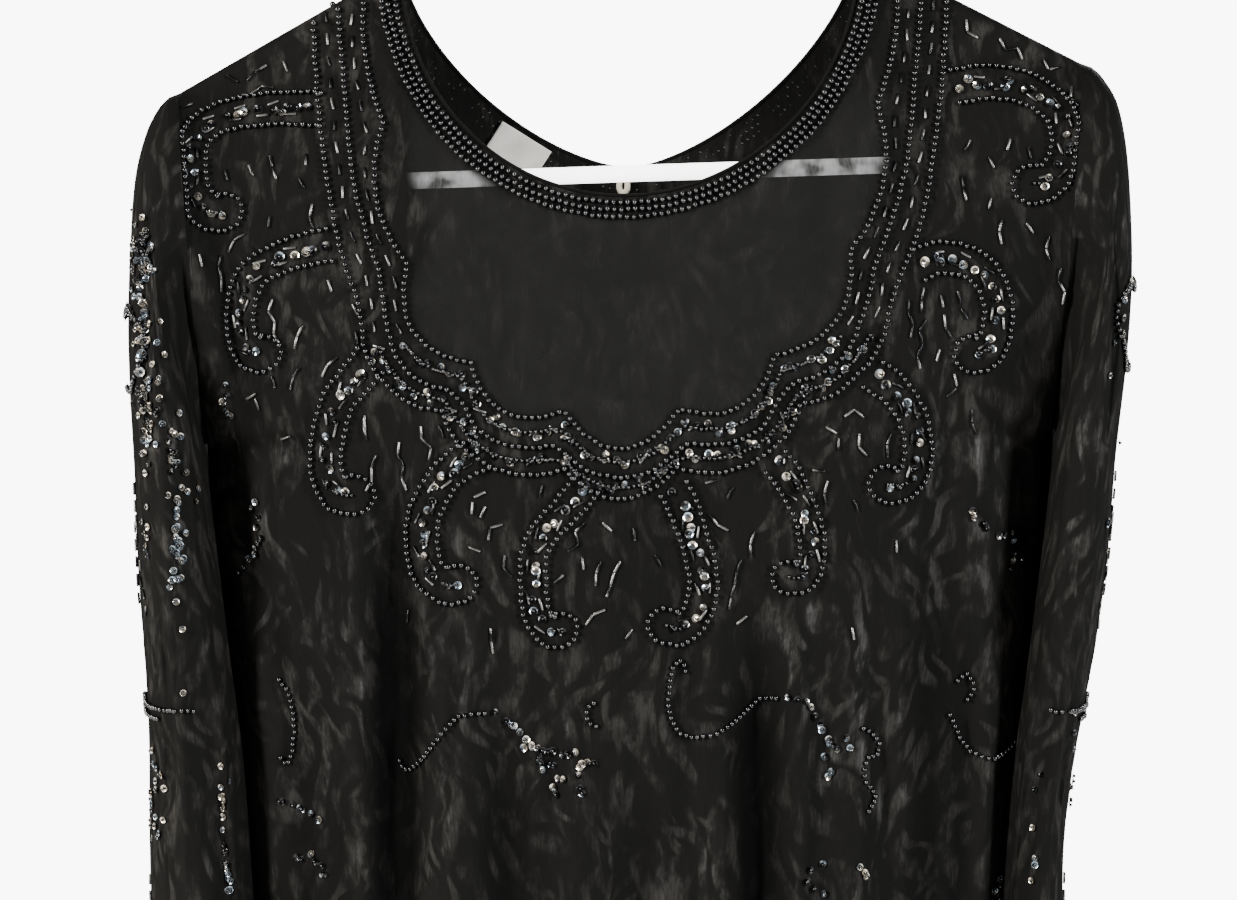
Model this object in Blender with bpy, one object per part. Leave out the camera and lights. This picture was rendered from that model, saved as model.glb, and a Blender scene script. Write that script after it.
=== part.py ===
"""A long-sleeved dress of black figured silk with a dropped waist and a beaded yoke, on a tube hanger.

Sizes are in millimetres and are turned into metres where a mesh is made. Heights are
measured from the neck point, where the shoulder seam meets the neckline. The model's
origin is the inside top of the hanger's hook. The front faces -Y.
"""

import math

import bmesh
import bpy
from mathutils import Vector
from mathutils.bvhtree import BVHTree

MM = 0.001
NECK_POINT_Z = -130.0

ROUNDING = 0.01

WALL = 1.5
SEAM_GAP = 0.3
TRIM_GAP = 0.8
OUTSIDE = 400.0  # a distance from the middle plane that is past all the cloth

# Neck, shoulder and armhole
NECK_HALF = 103.0
FRONT_NECK_DEPTH = 108.0
BACK_NECK_DEPTH = 94.0
FRONT_NECK_POWER = 2.0
BACK_NECK_POWER = 1.55
SHOULDER_HALF = 203.0
SHOULDER_SLOPE = math.tan(math.radians(28.5))
ARMHOLE_HEIGHT = 160.7
ARMHOLE_HALF_DEPTH = 34.0

# The right shoulder hangs higher than the left, and the lean dies away down the body
LEAN = math.tan(math.radians(1.9))
LEAN_FULL_Z = -110.0
LEAN_END_Z = -330.0

# Dropped waist and hem
WAIST_SEAM_Z = -640.0
HEM_Z = -1060.0
HEM_HALF = 214.0
HEM_FRONT_DEPTH = 96.0
HEM_BACK_DEPTH = 84.0
SECTION_POWER = 2.6
SKIRT_WAVES = 9
SKIRT_WAVE_DEPTH = 13.0
SKIRT_SIDE_SWAY = 0.18  # share of a wave's depth that also moves it sideways
SKIRT_OPENING_POWER = 0.8
SKIRT_LEVELS = (0.0, 0.04, 0.12, 0.24, 0.38, 0.53, 0.69, 0.85, 1.0)
POINTS_PER_WAVE = 4

# Hanger
TUBE_RADIUS = 3.75
TUBE_SIDES = 8
ARM_REACH = 185.0
BAR_DROP = 97.0
APEX_ROUNDING = 24.0
HOOK_INSIDE_RADIUS = 22.0
HOOK_MOUTH_ANGLE = 205.0

# How far the front and back stand from the middle plane: on the tube, then falling free
TUBE_CLEARANCE = 0.4
TUBE_COVER = TUBE_RADIUS + TUBE_CLEARANCE + WALL
TUBE_COVER_HEIGHT = TUBE_COVER / math.cos(math.atan(SHOULDER_SLOPE))
COVER_FULL_Z = -120.0
COVER_END_Z = -190.0
FRONT_FALL = 62.0
BACK_FALL = 48.0
FALL_LENGTH = 170.0

HALF_WIDTHS = (  # height, half width
    (0.0, 203.0),
    (-54.3, 203.0),
    (-215.0, 190.0),
    (-295.0, 181.0),
    (-350.0, 176.0),
    (-422.0, 170.0),
    (-520.0, 168.0),
    (-640.0, 172.0),
)

# A fold's trough fades out at this share of its half width, and reaches its depth by this share of its length
FOLD_REACH = 1.6
FOLD_ENTRY = 0.30

FRONT_FOLDS = (  # x at the top, top height, x at the waist seam, depth, half width
    (-106.0, -195.0, -100.0, 15.0, 11.0),
    (54.0, -255.0, 60.0, 12.0, 11.0),
    (-55.0, -300.0, -52.0, 8.0, 11.0),
    (139.0, -195.0, 128.0, 7.0, 14.0),
    (-148.0, -270.0, -142.0, 6.0, 12.0),
    (4.0, -330.0, 8.0, 6.0, 12.0),
    (99.0, -300.0, 96.0, -5.0, 14.0),
    (-80.0, -295.0, -76.0, -5.0, 12.0),
    (-26.0, -315.0, -22.0, -4.0, 12.0),
)

BACK_FOLDS = (  # x at the top, top height, x at the waist seam, depth, half width
    (-112.0, -210.0, -104.0, 12.0, 13.0),
    (-30.0, -240.0, -36.0, 9.0, 13.0),
    (62.0, -230.0, 56.0, 13.0, 12.0),
    (128.0, -260.0, 120.0, 7.0, 14.0),
    (14.0, -270.0, 12.0, -5.0, 14.0),
    (-72.0, -270.0, -70.0, -5.0, 13.0),
)

# Columns of points across the neck, as angles whose sine gives the place, close together over the hanger
FRONT_NECK_ANGLES = (0.0, 11.0, 22.0, 33.0, 44.0, 54.0, 63.0, 71.0, 78.0, 83.5, 87.0, 88.8, 90.0)
BACK_NECK_ANGLES = (0.0, 15.0, 30.0, 44.0, 56.0, 66.0, 74.0, 80.0, 84.5, 87.5, 90.0)
EDGE_ROWS = (0.0, 1.2, 3.5, 7.0, 13.0)
SIDE_LEVELS = (
    -75.0, -92.0, -110.0, -128.0, -146.0, -163.0, -178.0, -191.0, -201.0, -209.0, -214.0, -215.2,
    -222.0, -236.0, -256.0, -280.0, -305.0, -333.0, -365.0, -400.0, -440.0, -485.0, -535.0, -590.0,
)
LEVEL_END_Z = -300.0
SHOULDER_CLUSTERING = 1.6
EDGE_SPREAD_HEIGHT = 60.0  # below a top edge, over which the columns close in to the body's width

LEFT_SLEEVE = (  # outer x, outer height, inner x, inner height, half depth, set back
    (207.5, -56.0, 190.9, -215.6, 35.0, 0.0),
    (212.5, -61.5, 191.5, -216.6, 38.0, 0.5),
    (218.0, -73.0, 192.0, -218.5, 42.0, 1.0),
    (222.5, -92.0, 192.2, -221.5, 47.0, 2.0),
    (224.5, -120.0, 192.4, -226.0, 52.0, 3.0),
    (225.5, -152.0, 192.4, -233.0, 56.0, 4.0),
    (225.0, -188.0, 192.2, -244.0, 59.0, 6.0),
    (223.0, -228.0, 191.0, -262.0, 61.0, 7.0),
    (221.5, -268.0, 187.5, -288.0, 62.0, 8.0),
    (219.0, -308.0, 183.5, -320.0, 61.0, 8.0),
    (217.0, -350.0, 178.5, -356.0, 60.0, 8.0),
    (216.5, -395.0, 175.0, -398.0, 58.0, 8.0),
    (215.0, -440.0, 172.5, -441.0, 56.0, 8.0),
    (212.5, -490.0, 171.5, -490.0, 53.0, 8.0),
    (210.0, -540.0, 172.0, -540.0, 49.0, 8.0),
    (207.0, -585.0, 173.5, -585.0, 45.0, 8.0),
    (205.5, -618.0, 174.5, -618.0, 43.0, 8.0),
)

RIGHT_SLEEVE = (  # outer x, outer height, inner x, inner height, half depth, set back
    (207.5, -56.0, 190.9, -215.6, 35.0, 0.0),
    (212.5, -61.0, 191.5, -216.6, 38.0, 0.5),
    (219.0, -72.5, 192.0, -218.5, 43.0, 1.0),
    (223.0, -92.0, 192.2, -221.5, 48.0, 2.0),
    (225.0, -120.0, 192.4, -226.0, 54.0, 3.0),
    (225.5, -152.0, 192.4, -233.0, 58.0, 5.0),
    (223.0, -188.0, 192.2, -244.0, 61.0, 7.0),
    (218.5, -228.0, 191.0, -262.0, 63.0, 9.0),
    (215.0, -268.0, 187.5, -288.0, 65.0, 10.0),
    (209.5, -308.0, 183.5, -320.0, 65.0, 11.0),
    (202.0, -350.0, 178.5, -356.0, 64.0, 12.0),
    (196.0, -395.0, 174.5, -398.0, 62.0, 12.0),
    (195.0, -440.0, 172.2, -441.0, 59.0, 12.0),
    (197.0, -490.0, 171.5, -490.0, 56.0, 12.0),
    (200.0, -540.0, 171.8, -540.0, 52.0, 11.0),
    (202.5, -585.0, 172.5, -585.0, 48.0, 10.0),
    (204.0, -618.0, 174.0, -618.0, 45.0, 9.0),
)
SLEEVE_POINTS = 18
SLEEVE_POWER = 2.3
SLEEVE_RIPPLES = 3
SLEEVE_RIPPLE_DEPTH = 3.0
SLEEVE_RIPPLE_LENGTH = 60.0
SLEEVE_RIPPLE_START_Z = -150.0
SLEEVE_RIPPLE_FULL_Z = -330.0

# Beadwork carried as low relief: the neck band, the yoke band and five hooked curls a side
BEAD_RELIEF = 2.0
BEAD_SECTION = (  # place across the half width, height over the cloth
    (-1.0, 0.0),
    (0.0, 0.0),
    (1.0, 0.0),
    (0.7, BEAD_RELIEF),
    (-0.7, BEAD_RELIEF),
)
NECK_BAND_INSET = 6.5
NECK_BAND_HALF = 5.0
NECK_BAND_REACH = 74.0  # degrees round the neckline from its middle
NECK_BAND_STEPS = 16
YOKE_BAND_HALF = 8.5
YOKE_PATH = (  # x, height, from the shoulder down to the middle of the front
    (131.0, -30.0),
    (127.0, -62.0),
    (123.0, -92.0),
    (117.0, -117.0),
    (110.0, -141.0),
    (104.0, -165.0),
    (94.0, -183.0),
    (81.0, -194.0),
    (69.0, -203.0),
    (57.0, -213.0),
    (43.0, -219.0),
    (30.0, -219.0),
    (15.0, -229.0),
    (0.0, -234.0),
)
CURLS = (  # root x, root height, heading in degrees, length, turn in degrees, half width
    (143.0, -70.0, 8.0, 102.0, -215.0, 7.0),
    (134.0, -137.0, 14.0, 78.0, -175.0, 6.5),
    (117.0, -186.0, -38.0, 70.0, -150.0, 7.0),
    (70.0, -234.0, -42.0, 74.0, -185.0, 7.0),
    (22.0, -248.0, -48.0, 76.0, -165.0, 7.0),
)
CURL_TIGHTENING = 1.7
CURL_STEPS = 10
CURL_END_SHARE = 0.80  # of the half width, at a curl's two ends

# Small pieces inside the back neck
LABEL_WIDTH = 26.5
LABEL_DROP = 22.0
LABEL_CENTRE_X = -45.5
LABEL_THICKNESS = 1.0
LOOP_HALF_WIDTH = 3.6
LOOP_TOP_Z = -95.5
LOOP_BOTTOM_Z = -106.0
LOOP_TAPE = 1.3

FINISHES = {  # colour, roughness, metallic
    "figured_silk": ((0.020, 0.019, 0.018), 0.62, 0.0),
    "bead_glass": ((0.010, 0.010, 0.011), 0.16, 0.0),
    "white_plastic": ((0.86, 0.86, 0.84), 0.32, 0.0),
    "white_satin": ((0.78, 0.76, 0.71), 0.55, 0.0),
    "cream_tape": ((0.70, 0.64, 0.50), 0.70, 0.0),
}


def clear_scene():
    for item in list(bpy.data.objects):
        bpy.data.objects.remove(item, do_unlink=True)


def finish(name):
    """The material of one finish, made the first time it is asked for."""
    material = bpy.data.materials.get(name)
    if material is None:
        material = bpy.data.materials.new(name)
        material.use_nodes = True
        colour, roughness, metallic = FINISHES[name]
        shader = material.node_tree.nodes["Principled BSDF"]
        shader.inputs["Base Color"].default_value = (*colour, 1.0)
        shader.inputs["Roughness"].default_value = roughness
        shader.inputs["Metallic"].default_value = metallic
    return material


def add_node(name, points, faces, finish_name):
    """One named solid from points in metres."""
    mesh = bpy.data.meshes.new(name)
    mesh.from_pydata(points, [], faces)
    build = bmesh.new()
    build.from_mesh(mesh)
    bmesh.ops.triangulate(build, faces=build.faces[:])
    bmesh.ops.recalc_face_normals(build, faces=build.faces[:])
    build.to_mesh(mesh)
    build.free()
    mesh.shade_smooth()
    mesh.set_sharp_from_angle(angle=math.radians(40.0))
    mesh.materials.append(finish(finish_name))
    node = bpy.data.objects.new(name, mesh)
    bpy.context.collection.objects.link(node)
    return node


def ease(start, end, value):
    """0 at start, 1 at end, with level ends."""
    part = min(1.0, max(0.0, (value - start) / (end - start)))
    return part * part * (3.0 - 2.0 * part)


def half_width(z):
    """Half the body's width at a height, straight between the table's rows."""
    for (high, wide_high), (low, wide_low) in zip(HALF_WIDTHS, HALF_WIDTHS[1:]):
        if z >= low:
            return wide_high + (wide_low - wide_high) * min(1.0, max(0.0, (high - z) / (high - low)))
    return HALF_WIDTHS[-1][1]


def placed(x, y, z):
    """A point of the garment's own frame, leaned with the shoulders and put in the model's frame."""
    lean = x * LEAN * ease(LEAN_END_Z, LEAN_FULL_Z, z)
    return Vector((x, y, z + lean + NECK_POINT_Z)) * MM


def shoulder_z(x):
    """Height of the shoulder seam, level across the neck."""
    return -max(0.0, abs(x) - NECK_HALF) * SHOULDER_SLOPE


def top_z(x, front):
    """Height of a panel's top edge: neckline inside the neck points, shoulder seam outside them."""
    if abs(x) >= NECK_HALF:
        return shoulder_z(x)
    depth = FRONT_NECK_DEPTH if front else BACK_NECK_DEPTH
    power = FRONT_NECK_POWER if front else BACK_NECK_POWER
    inner = max(0.0, 1.0 - (abs(x) / NECK_HALF) ** power)
    return -depth * inner ** (1.0 / power)


def armhole_depth(z):
    """Half the opening between front and back at the armhole, nothing above or below it."""
    middle = shoulder_z(SHOULDER_HALF) - ARMHOLE_HEIGHT / 2.0
    inner = 1.0 - ((z - middle) / (ARMHOLE_HEIGHT / 2.0)) ** 2
    return ARMHOLE_HALF_DEPTH * math.sqrt(max(0.0, inner))


def cover_depth(x, z):
    """How far cloth that lies round the hanger's arm stands from the middle plane."""
    below = max(0.0, shoulder_z(x) - z)
    over_tube = min(1.0, below / TUBE_COVER_HEIGHT)
    return TUBE_COVER * math.sqrt(1.0 - (1.0 - over_tube) ** 2)


def fall_depth(x, z, fall):
    """How far cloth that hangs from the hanger's arm stands from the middle plane."""
    free = max(0.0, shoulder_z(x) - z - TUBE_COVER_HEIGHT)
    return cover_depth(x, z) + fall * (1.0 - math.exp(-free / FALL_LENGTH))


def fold_depth(folds, x, z):
    """The sum of the vertical folds at a point, each a soft trough or ridge that deepens downward."""
    depth = 0.0
    for top_x, start_z, low_x, deep, half in folds:
        along = (start_z - z) / (start_z - WAIST_SEAM_Z)
        if along <= 0.0:
            continue
        offset = (x - top_x - (low_x - top_x) * along) / half
        if abs(offset) < FOLD_REACH:
            crest = math.cos(offset / FOLD_REACH * math.pi / 2.0) ** 2
            depth += deep * crest * ease(0.0, FOLD_ENTRY, along)
    return depth


def body_depth(x, z, front):
    """Distance of the front or back from the middle plane."""
    edge = armhole_depth(z)
    share = min(1.0, abs(x) / half_width(z))
    roundness = max(0.0, 1.0 - share ** SECTION_POWER) ** (1.0 / SECTION_POWER)
    fall = FRONT_FALL if front else BACK_FALL
    folds = FRONT_FOLDS if front else BACK_FOLDS
    middle = fall_depth(x, z, fall) - fold_depth(folds, x, z)
    rounded = edge + (middle - edge) * roundness
    resting = cover_depth(x, z) * ease(COVER_END_Z, COVER_FULL_Z, z)
    return SEAM_GAP / 2.0 + max(rounded, resting)


def column_fractions(neck_angles, shoulder_steps):
    """Places across the shoulder line as fractions of its half width, close together at both ends."""
    half = [NECK_HALF * math.sin(math.radians(angle)) for angle in neck_angles]
    for step in range(1, shoulder_steps + 1):
        part = 1.0 - (1.0 - step / shoulder_steps) ** SHOULDER_CLUSTERING
        half.append(NECK_HALF + (SHOULDER_HALF - NECK_HALF) * part)
    right = [x / SHOULDER_HALF for x in half]
    return [-share for share in reversed(right[1:])] + right


def body_rows(share, front):
    """Heights down one column, following the top edge first and level lower down."""
    edge_z = top_z(share * SHOULDER_HALF, front)
    heights = [edge_z - drop for drop in EDGE_ROWS]
    side_start = SIDE_LEVELS[0]
    offset = edge_z - shoulder_z(SHOULDER_HALF)
    for level in SIDE_LEVELS:
        heights.append(level + offset * ease(LEVEL_END_Z, side_start, level))
    heights.append(WAIST_SEAM_Z)
    return heights


def body_grid(front, neck_angles, shoulder_steps):
    """Rows of outer points of a front or back, from its top edge down to the waist seam."""
    sign = -1.0 if front else 1.0
    columns = []
    for share in column_fractions(neck_angles, shoulder_steps):
        column = []
        top = top_z(share * SHOULDER_HALF, front)
        for index, z in enumerate(body_rows(share, front)):
            near_edge = ease(EDGE_SPREAD_HEIGHT, 0.0, top - z)
            width = half_width(z) + (SHOULDER_HALF - half_width(z)) * near_edge
            if math.isclose(abs(share), 1.0):
                width = half_width(z)
            x = share * width
            on_shoulder = index == 0 and abs(x) >= NECK_HALF - ROUNDING
            depth = SEAM_GAP / 2.0 if on_shoulder else body_depth(x, z, front)
            column.append(placed(x, sign * depth, z))
        columns.append(column)
    return [list(row) for row in zip(*columns)]


def grid_normals(grid, closed):
    """Unit normals by central differences, to the right-hand side of rows going down."""
    rows = len(grid)
    count = len(grid[0])
    normals = []
    for r in range(rows):
        line = []
        for c in range(count):
            if closed:
                across = grid[r][(c + 1) % count] - grid[r][c - 1]
            else:
                across = grid[r][min(c + 1, count - 1)] - grid[r][max(c - 1, 0)]
            down = grid[min(r + 1, rows - 1)][c] - grid[max(r - 1, 0)][c]
            line.append(down.cross(across).normalized())
        normals.append(line)
    return normals


def wall_solid(name, grid, normals, closed, finish_name):
    """A closed wall between a grid of outer points and the same points moved inward."""
    rows = len(grid)
    count = len(grid[0])
    outer = [point for row in grid for point in row]
    inner = [
        point - normal * WALL * MM
        for row, line in zip(grid, normals)
        for point, normal in zip(row, line)
    ]
    total = len(outer)
    faces = []
    spans = count if closed else count - 1
    for r in range(rows - 1):
        for c in range(spans):
            a = r * count + c
            b = r * count + (c + 1) % count
            faces.append((a, a + count, b + count, b))
            faces.append((total + a, total + b, total + b + count, total + a + count))
    for c in range(spans):
        top_a, top_b = c, (c + 1) % count
        low_a, low_b = top_a + (rows - 1) * count, top_b + (rows - 1) * count
        faces.append((top_a, top_b, total + top_b, total + top_a))
        faces.append((low_b, low_a, total + low_a, total + low_b))
    if not closed:
        for r in range(rows - 1):
            left = r * count
            right = left + count - 1
            faces.append((left, total + left, total + left + count, left + count))
            faces.append((right, right + count, total + right + count, total + right))
    return add_node(name, outer + inner, faces, finish_name)


def flatten(normal):
    """The normal without its front-to-back part, so that a seam's edge face stays in its plane."""
    return Vector((normal.x, 0.0, normal.z)).normalized()


def add_body_panel(name, front, neck_angles, shoulder_steps):
    grid = body_grid(front, neck_angles, shoulder_steps)
    if not front:
        grid = [row[::-1] for row in grid]
    normals = grid_normals(grid, closed=False)
    for r, line in enumerate(normals):
        for c, normal in enumerate(line):
            point = grid[r][c]
            at_side = c in (0, len(line) - 1)
            on_seam = abs(point.y) < SEAM_GAP * MM
            if on_seam and r == 0:
                side = 1.0 if point.x > 0.0 else -1.0
                line[c] = Vector((side * SHOULDER_SLOPE, 0.0, 1.0)).normalized()
            elif on_seam and at_side:
                line[c] = flatten(Vector((point.x, 0.0, 0.0)))
            elif at_side:
                line[c] = Vector((0.0, normal.y, normal.z)).normalized()
    return wall_solid(name, grid, normals, False, "figured_silk")


def sleeve_ring(row, side):
    """One ring of a sleeve, from the outermost point round by the front."""
    outer_x, outer_z, inner_x, inner_z, depth, back = row
    ring = []
    for index in range(SLEEVE_POINTS):
        turn = 2.0 * math.pi * index / SLEEVE_POINTS
        across = math.copysign(abs(math.cos(turn)) ** (2.0 / SLEEVE_POWER), math.cos(turn))
        along = math.copysign(abs(math.sin(turn)) ** (2.0 / SLEEVE_POWER), math.sin(turn))
        hanging = ease(SLEEVE_RIPPLE_START_Z, SLEEVE_RIPPLE_FULL_Z, outer_z)
        phase = SLEEVE_RIPPLES * turn * 2.0 + outer_z / SLEEVE_RIPPLE_LENGTH
        ripple = SLEEVE_RIPPLE_DEPTH * hanging * math.sin(phase)
        outward = max(0.0, across)
        x = (outer_x + inner_x) / 2.0 + (outer_x - inner_x) / 2.0 * across
        x -= abs(ripple) * outward * abs(along)
        z = (outer_z + inner_z) / 2.0 + (outer_z - inner_z) / 2.0 * across
        y = back - (depth - abs(ripple) * 0.5) * along
        ring.append(placed(side * x, y, z))
    return ring


def armhole_ring(side):
    """The sleeve's first ring, which faces the panels' armhole edge across the seam gap."""
    top = shoulder_z(SHOULDER_HALF)
    ring = []
    for index in range(SLEEVE_POINTS):
        turn = 2.0 * math.pi * index / SLEEVE_POINTS
        z = top - ARMHOLE_HEIGHT / 2.0 * (1.0 - math.cos(turn))
        y = -ARMHOLE_HALF_DEPTH * math.sin(turn)
        x = half_width(z) + SEAM_GAP
        ring.append(placed(side * x, y, z))
    return ring


def add_sleeve(name, rows, side):
    """A tube from the armhole over the sleeve head and down to an open cuff."""
    grid = [armhole_ring(side)] + [sleeve_ring(row, side) for row in rows]
    if side < 0.0:
        grid = [row[:1] + row[:0:-1] for row in grid]
    normals = grid_normals(grid, closed=True)
    for index, normal in enumerate(normals[0]):
        normals[0][index] = Vector((0.0, normal.y, normal.z)).normalized()
    for index, normal in enumerate(normals[-1]):
        normals[-1][index] = Vector((normal.x, normal.y, 0.0)).normalized()
    return wall_solid(name, grid, normals, True, "figured_silk")


def add_skirt_panel(name, front):
    """A soft gathered panel from the waist seam to the hem."""
    sign = -1.0 if front else 1.0
    waist_depth = body_depth(0.0, WAIST_SEAM_Z + 1.0, front)
    hem_depth = HEM_FRONT_DEPTH if front else HEM_BACK_DEPTH
    count = SKIRT_WAVES * POINTS_PER_WAVE + 1
    grid = []
    for level in SKIRT_LEVELS:
        z = WAIST_SEAM_Z - SEAM_GAP + (HEM_Z - WAIST_SEAM_Z + SEAM_GAP) * level
        opened = level ** SKIRT_OPENING_POWER
        width = HALF_WIDTHS[-1][1] + (HEM_HALF - HALF_WIDTHS[-1][1]) * opened
        depth = waist_depth + (hem_depth - waist_depth) * opened
        row = []
        for index in range(count):
            turn = math.pi * index / (count - 1)
            share = -math.copysign(abs(math.cos(turn)) ** (2.0 / SECTION_POWER), math.cos(turn))
            roundness = math.sin(turn) ** (2.0 / SECTION_POWER) if 0 < index < count - 1 else 0.0
            uneven = 0.75 + 0.25 * math.sin(2.3 * turn + (0.6 if front else 2.1))
            wave = math.sin(2.0 * math.pi * SKIRT_WAVES * index / (count - 1))
            lift = SKIRT_WAVE_DEPTH * uneven * wave * ease(0.0, 0.9, level) * math.sin(turn) ** 0.5
            y = SEAM_GAP / 2.0 + depth * roundness + lift * roundness
            row.append(placed(share * (width + SKIRT_SIDE_SWAY * lift), sign * y, z))
        grid.append(row if front else row[::-1])
    normals = grid_normals(grid, closed=False)
    for line, row in zip(normals, grid):
        line[0] = Vector((math.copysign(1.0, row[0].x), 0.0, 0.0))
        line[-1] = Vector((math.copysign(1.0, row[-1].x), 0.0, 0.0))
    for row_index in (0, -1):
        for index, normal in enumerate(normals[row_index]):
            normals[row_index][index] = Vector((normal.x, normal.y, 0.0)).normalized()
    return wall_solid(name, grid, normals, False, "figured_silk")


def surface_of(node):
    """A search tree of a panel's triangles, for laying trim on it."""
    points = [vertex.co.copy() for vertex in node.data.vertices]
    faces = [tuple(face.vertices) for face in node.data.polygons]
    return BVHTree.FromPolygons(points, faces)


def on_panel(surface, x, z, front):
    """The outer point and normal of a panel at a place in front or back view."""
    start = placed(x, -OUTSIDE if front else OUTSIDE, z)
    way = Vector((0.0, 1.0 if front else -1.0, 0.0))
    hit, normal, _index, _distance = surface.ray_cast(start, way)
    if hit is None:
        raise RuntimeError(f"no cloth at {x:.0f}, {z:.0f}")
    return hit, normal


def add_beading(name, path, half_widths, surface, front):
    """A low raised band along a path on a panel, made from the panel's points moved out."""
    points = []
    for index, (x, z) in enumerate(path):
        before = path[max(index - 1, 0)]
        after = path[min(index + 1, len(path) - 1)]
        length = math.hypot(after[0] - before[0], after[1] - before[1])
        side_x = (before[1] - after[1]) / length
        side_z = (after[0] - before[0]) / length
        for share, lift in BEAD_SECTION:
            reach = share * half_widths[index]
            base, normal = on_panel(surface, x + side_x * reach, z + side_z * reach, front)
            points.append(base + normal * (TRIM_GAP + lift) * MM)
    corners = len(BEAD_SECTION)
    faces = [tuple(range(corners))]
    for index in range(len(path) - 1):
        start = index * corners
        for corner in range(corners):
            following = (corner + 1) % corners
            faces.append((start + corner, start + corner + corners, start + following + corners, start + following))
    faces.append(tuple(range((len(path) - 1) * corners, len(path) * corners)))
    return add_node(name, points, faces, "bead_glass")


def neck_band_path(front):
    """The middle line of the neck band, parallel to the neckline."""
    path = []
    nudge = 0.01
    for step in range(NECK_BAND_STEPS + 1):
        turn = math.radians(NECK_BAND_REACH * (2.0 * step / NECK_BAND_STEPS - 1.0))
        x = NECK_HALF * math.sin(turn)
        z = top_z(x, front)
        ahead = NECK_HALF * math.sin(turn + nudge)
        behind = NECK_HALF * math.sin(turn - nudge)
        slope_x = ahead - behind
        slope_z = top_z(ahead, front) - top_z(behind, front)
        length = math.hypot(slope_x, slope_z)
        path.append((x + slope_z / length * NECK_BAND_INSET, z - slope_x / length * NECK_BAND_INSET))
    return path


def yoke_band_path():
    """The middle line of the yoke band from the left shoulder round to the right."""
    left = [(-x, z) for x, z in YOKE_PATH]
    return left + [point for point in reversed(YOKE_PATH[:-1])]


def curl_path(row, side):
    """A hooked curl: a line whose bend tightens along its length."""
    root_x, root_z, heading, length, turn, _half = row
    x, z = root_x, root_z
    path = [(side * x, z)]
    step = length / CURL_STEPS
    for index in range(CURL_STEPS):
        part = (index + 0.5) / CURL_STEPS
        angle = math.radians(heading + turn * part ** CURL_TIGHTENING)
        x += step * math.cos(angle)
        z += step * math.sin(angle)
        path.append((side * x, z))
    return path


def add_all_beading(front_surface, back_surface):
    neck = neck_band_path(True)
    add_beading("neck_beading_front", neck, [NECK_BAND_HALF] * len(neck), front_surface, True)
    neck = neck_band_path(False)
    add_beading("neck_beading_back", neck, [NECK_BAND_HALF] * len(neck), back_surface, False)
    yoke = yoke_band_path()
    add_beading("yoke_beading", yoke, [YOKE_BAND_HALF] * len(yoke), front_surface, True)
    for side, word in ((-1.0, "left"), (1.0, "right")):
        for number, row in enumerate(CURLS, start=1):
            path = curl_path(row, side)
            swells = [math.sin(math.pi * index / CURL_STEPS) for index in range(len(path))]
            halves = [row[5] * (CURL_END_SHARE + (1.0 - CURL_END_SHARE) * swell) for swell in swells]
            add_beading(f"curl_{word}_{number}", path, halves, front_surface, True)


def tube_points(path, radius, closed):
    """Rings of points round a path that lies in the front plane."""
    rings = []
    count = len(path)
    for index, (x, z) in enumerate(path):
        if closed:
            before, after = path[index - 1], path[(index + 1) % count]
        else:
            before, after = path[max(index - 1, 0)], path[min(index + 1, count - 1)]
        length = math.hypot(after[0] - before[0], after[1] - before[1])
        normal_x = (after[1] - before[1]) / length
        normal_z = (before[0] - after[0]) / length
        for side in range(TUBE_SIDES):
            turn = 2.0 * math.pi * (side + 0.5) / TUBE_SIDES
            out = radius * math.cos(turn)
            rings.append((x + normal_x * out, radius * math.sin(turn), z + normal_z * out))
    return rings


def tube_faces(count, closed):
    faces = []
    for index in range(count if closed else count - 1):
        start = index * TUBE_SIDES
        end = (index + 1) % count * TUBE_SIDES
        for side in range(TUBE_SIDES):
            following = (side + 1) % TUBE_SIDES
            faces.append((start + side, start + following, end + following, end + side))
    if not closed:
        faces.append(tuple(range(TUBE_SIDES))[::-1])
        faces.append(tuple((count - 1) * TUBE_SIDES + side for side in range(TUBE_SIDES)))
    return faces


def arm_z(x):
    """Height of the arm's middle line under the shoulder seam."""
    return (NECK_HALF - abs(x)) * SHOULDER_SLOPE - TUBE_COVER_HEIGHT - 0.3


def arc(centre, radius, start, end, steps):
    """Points on a circle in the front plane, angles in degrees."""
    points = []
    for step in range(steps + 1):
        turn = math.radians(start + (end - start) * step / steps)
        points.append((centre[0] + radius * math.cos(turn), centre[1] + radius * math.sin(turn)))
    return points


def hanger_loop():
    """The closed middle line of the hanger's arms and bar, anticlockwise from the bar's right end."""
    slope_angle = math.degrees(math.atan(SHOULDER_SLOPE))
    arm_end_z = arm_z(ARM_REACH)
    drop = arm_end_z + BAR_DROP
    bend = drop / (1.0 + math.cos(math.radians(slope_angle)))
    centre_x = ARM_REACH - bend * math.sin(math.radians(slope_angle))
    centre_z = -BAR_DROP + bend
    right = arc((centre_x, centre_z), bend, -90.0, 90.0 - slope_angle, 9)
    run = APEX_ROUNDING * math.sin(math.radians(slope_angle))
    top_centre_z = arm_z(run) - APEX_ROUNDING * math.cos(math.radians(slope_angle))
    crown = arc((0.0, top_centre_z), APEX_ROUNDING, 90.0 - slope_angle, 90.0 + slope_angle, 6)
    arm = [(ARM_REACH + (run - ARM_REACH) * part, arm_z(ARM_REACH + (run - ARM_REACH) * part)) for part in (0.25, 0.5, 0.75)]
    half = right + arm
    left = [(-x, z) for x, z in reversed(half)]
    bar = [(-centre_x * part, -BAR_DROP) for part in (0.6, 0.2, -0.2, -0.6)]
    return half + crown + left + bar, top_centre_z + APEX_ROUNDING


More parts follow.
